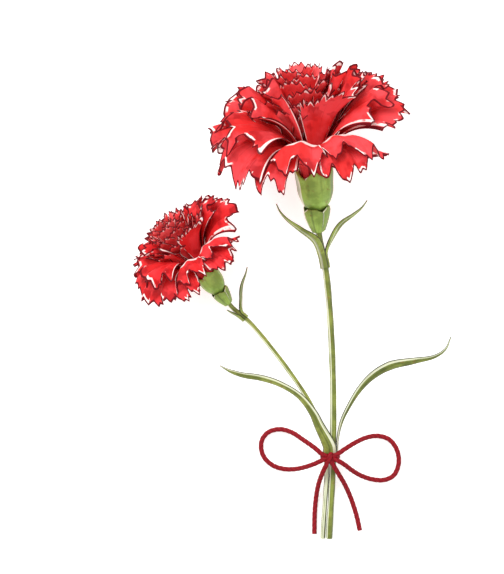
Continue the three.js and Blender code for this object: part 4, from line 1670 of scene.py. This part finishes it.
def large_carnation() -> Carnation:
    """The large, wide open flower on the upright stem.

    Returns:
        The flower.
    """
    return Carnation(
        name="large", size=1.0, foot=(-5.2, 98.4, 22.0), lean=5, tilt=15,
        stem_radius=1.35, stem_side=Side.RIGHT,
        stem_points=((1.0, 40, 12.2), (-1.6, 74, 17.6)),
        rings=(
            Ring(1.0, tuple((angle, 41) for angle in range(-14, 302, 45))),
            Ring(0.77, tuple((angle, 56) for angle in range(59, 300, 60))),
            Ring(0.54, tuple((angle, 66) for angle in range(80, 291, 70))),
            Ring(0.33, ((9, 80), (100, 85), (190, 85), (278, 80))),
            Ring(0.1, ((40, 150),)),
        ),
        leaf_node=22.8,
        leaves={
            "left": LeafForm(0, 5, -24, ((-6.2, 87.0, 22.0), (-12.0, 91.4, 22.2), (-17.1, 95.2, 22.4),
                                         (-20.1, 98.6, 22.0), (-21.5, 101.6, 21.4)),
                             (-24, -24, -25, -25, -25, -35, -50), (0, 0, 2.3, 1.4, 0.95, 0.62, 0.18)),
            "right": LeafForm(0, 5.5, 95, ((1.3, 88.4, 19.0), (4.5, 93.7, 20.2), (9.2, 97.2, 21.0),
                                           (12.5, 99.9, 21.2), (14.8, 103.0, 21.0)),
                              (95, 95, 60, 35, 30, 40, 50), (0, 0, 1.9, 1.35, 1.0, 0.65, 0.18)),
        },
        tuft=TuftForm(),
        petal_finish=PetalFinish("large_petals", blade_length=43.0),
        cuts={
            (1, 1): [LEFT_FOLD, Blade(1.1, -34, 38, length=0.87, fringe=0.6)],
            (1, 2): [RIGHT_FOLD, Blade(1.1, 22, 34, length=0.85, fringe=0.3)],
            (2, 1): [Blade(0.77, 74, 50)],
            (2, 5): [Blade(0.77, 295, 54)],
            (3, 1): [Blade(0.54, 90, 60)],
            (3, 4): [Blade(0.54, 283, 60)],
            (3, 2): [Blade(0.54, 150, 66, length=0.9)],
            (3, 3): [Blade(0.54, 220, 66, length=0.9)],
            (4, 1): [TALL_PETAL],
            (4, 3): [Blade(0.33, 190, 85, length=0.88)],
        },
    )


def small_carnation() -> Carnation:
    """The smaller flower, which leans to the left.

    Returns:
        The flower.
    """
    return Carnation(
        name="small", size=0.66, foot=(-43.6, 66.0, 15.4), lean=37, tilt=15,
        stem_radius=0.95, stem_side=Side.LEFT,
        stem_points=((-3.0, 10, 7.6), (-8.8, 23.4, 9.2), (-31.4, 53.4, 12.8)),
        rings=(
            Ring(1.0, ((-14, 41), (31, 41), (80, 48), (143, 66), (216, 66), (288, 66))),
            Ring(0.77, tuple((angle, 70) for angle in (68, 143, 218, 292))),
            Ring(0.45, ((9, 84), (115, 112), (242, 120))),
            Ring(0.12, ((200, 160),)),
        ),
        leaf_node=14.4,
        leaves={
            "left": LeafForm(0, 4, -75, ((-38.6, 57.6, 14.6), (-41.2, 59.2, 15.2)),
                             (-75, -75, -60, -50), (0, 0, 1.0, 0.15)),
            "right": LeafForm(0, 2.6, 80, ((-35.6, 65.2, 14.6), (-35.2, 69.6, 15.4), (-33.9, 73.2, 15.6),
                                           (-33.1, 76.4, 15.2)),
                              (80, 80, 45, 35, 40, 50), (0, 0, 0.95, 0.8, 0.55, 0.12)),
        },
        tuft=TuftForm(count=40, seed=5, width=14.0),
        petal_finish=PetalFinish("small_petals", blade_length=28.0, bright=colour(0.91, 0.22, 0.24),
                                 warm=colour(0.86, 0.15, 0.16), deep_share=0.52, patches=110.0),
        cuts={
            (1, 1): [replace(LEFT_FOLD, length=0.84, fringe=0.6),
                     Blade(1.1, -30, 38, length=0.90, fringe=0.6)],
            (1, 2): [replace(RIGHT_FOLD, ends=(0.5, 14.0)), Blade(1.1, 24, 34, length=0.90, fringe=0.4)],
            (2, 1): [Blade(0.77, 92, 50)],
            (2, 4): [Blade(0.77, 307, 42), Blade(0.72, 270, 44, length=0.96)],
            (3, 1): [replace(TALL_PETAL, layer=0.50, middle=38, length=0.86, slope=0.10, swing=0.15)],
            (3, 2): [Blade(0.45, 128, 96, length=0.94)],
            (3, 3): [Blade(0.45, 242, 120, length=0.92)],
        },
    )


LOWER_LEAVES = {
    Side.LEFT: LeafForm(
        35.4, 2.6, 0,
        ((-4.3, 12.6, 10.4), (-7.0, 18.0, 11.2), (-12.6, 24.9, 12.4), (-20.2, 29.4, 13.2),
         (-28.1, 31.9, 13.2), (-34.8, 33.0, 12.4), (-40.0, 34.6, 11.0), (-44.2, 36.8, 9.0)),
        (0, -16, -20, -24, -30, -34, -30, -26, -26, -30),
        (3.3, 2.9, 2.2, 1.7, 1.5, 1.45, 1.5, 1.45, 1.0, 0.15),
        (0, 3.4, 3.4, 3.6, 4, 5), 0.6),
    Side.RIGHT: LeafForm(
        35.4, 5, 95,
        ((5.0, 14.2, 8.8), (8.0, 20.6, 9.6), (12.0, 27.0, 10.6), (17.4, 32.6, 11.6), (24.6, 36.8, 12.6),
         (34.0, 38.7, 13.2), (42.0, 40.4, 13.2), (46.4, 43.4, 12.6), (48.7, 48.4, 11.6)),
        (95, 72, 48, 38, 32, 26, 20, 24, 34, 42, 50),
        (1.7, 1.3, 1.15, 1.3, 1.6, 1.9, 2.05, 1.75, 1.2, 0.8, 0.15),
        (0, 2.4, 3, 4, 5, 6), 0.6),
}


def main() -> None:
    """Builds the bunch and its studio."""
    logging.basicConfig(level=logging.INFO, format="%(name)s %(message)s")
    studio = Studio()
    studio.place_camera()
    tubes, tufts = SweptTube(), Tuft()
    large, small = large_carnation(), small_carnation()
    Bow(tubes, CordFinish().material(), (small.stem_radius, large.stem_radius)).build()
    greens = {finish.name: finish.material() for finish in GREENS}
    for flower in (large, small):
        flower.build(greens, tubes, tufts)
    held = {Side.LEFT: [large.stem, small.stem], Side.RIGHT: [large.stem]}
    for side, form in LOWER_LEAVES.items():
        word = side.name.lower()
        Leaf(f"{word}_lower_leaf", form, held[side]).build(greens[f"{word}_leaf_blade"])
    studio.build()


if __name__ == "__main__":
    main()
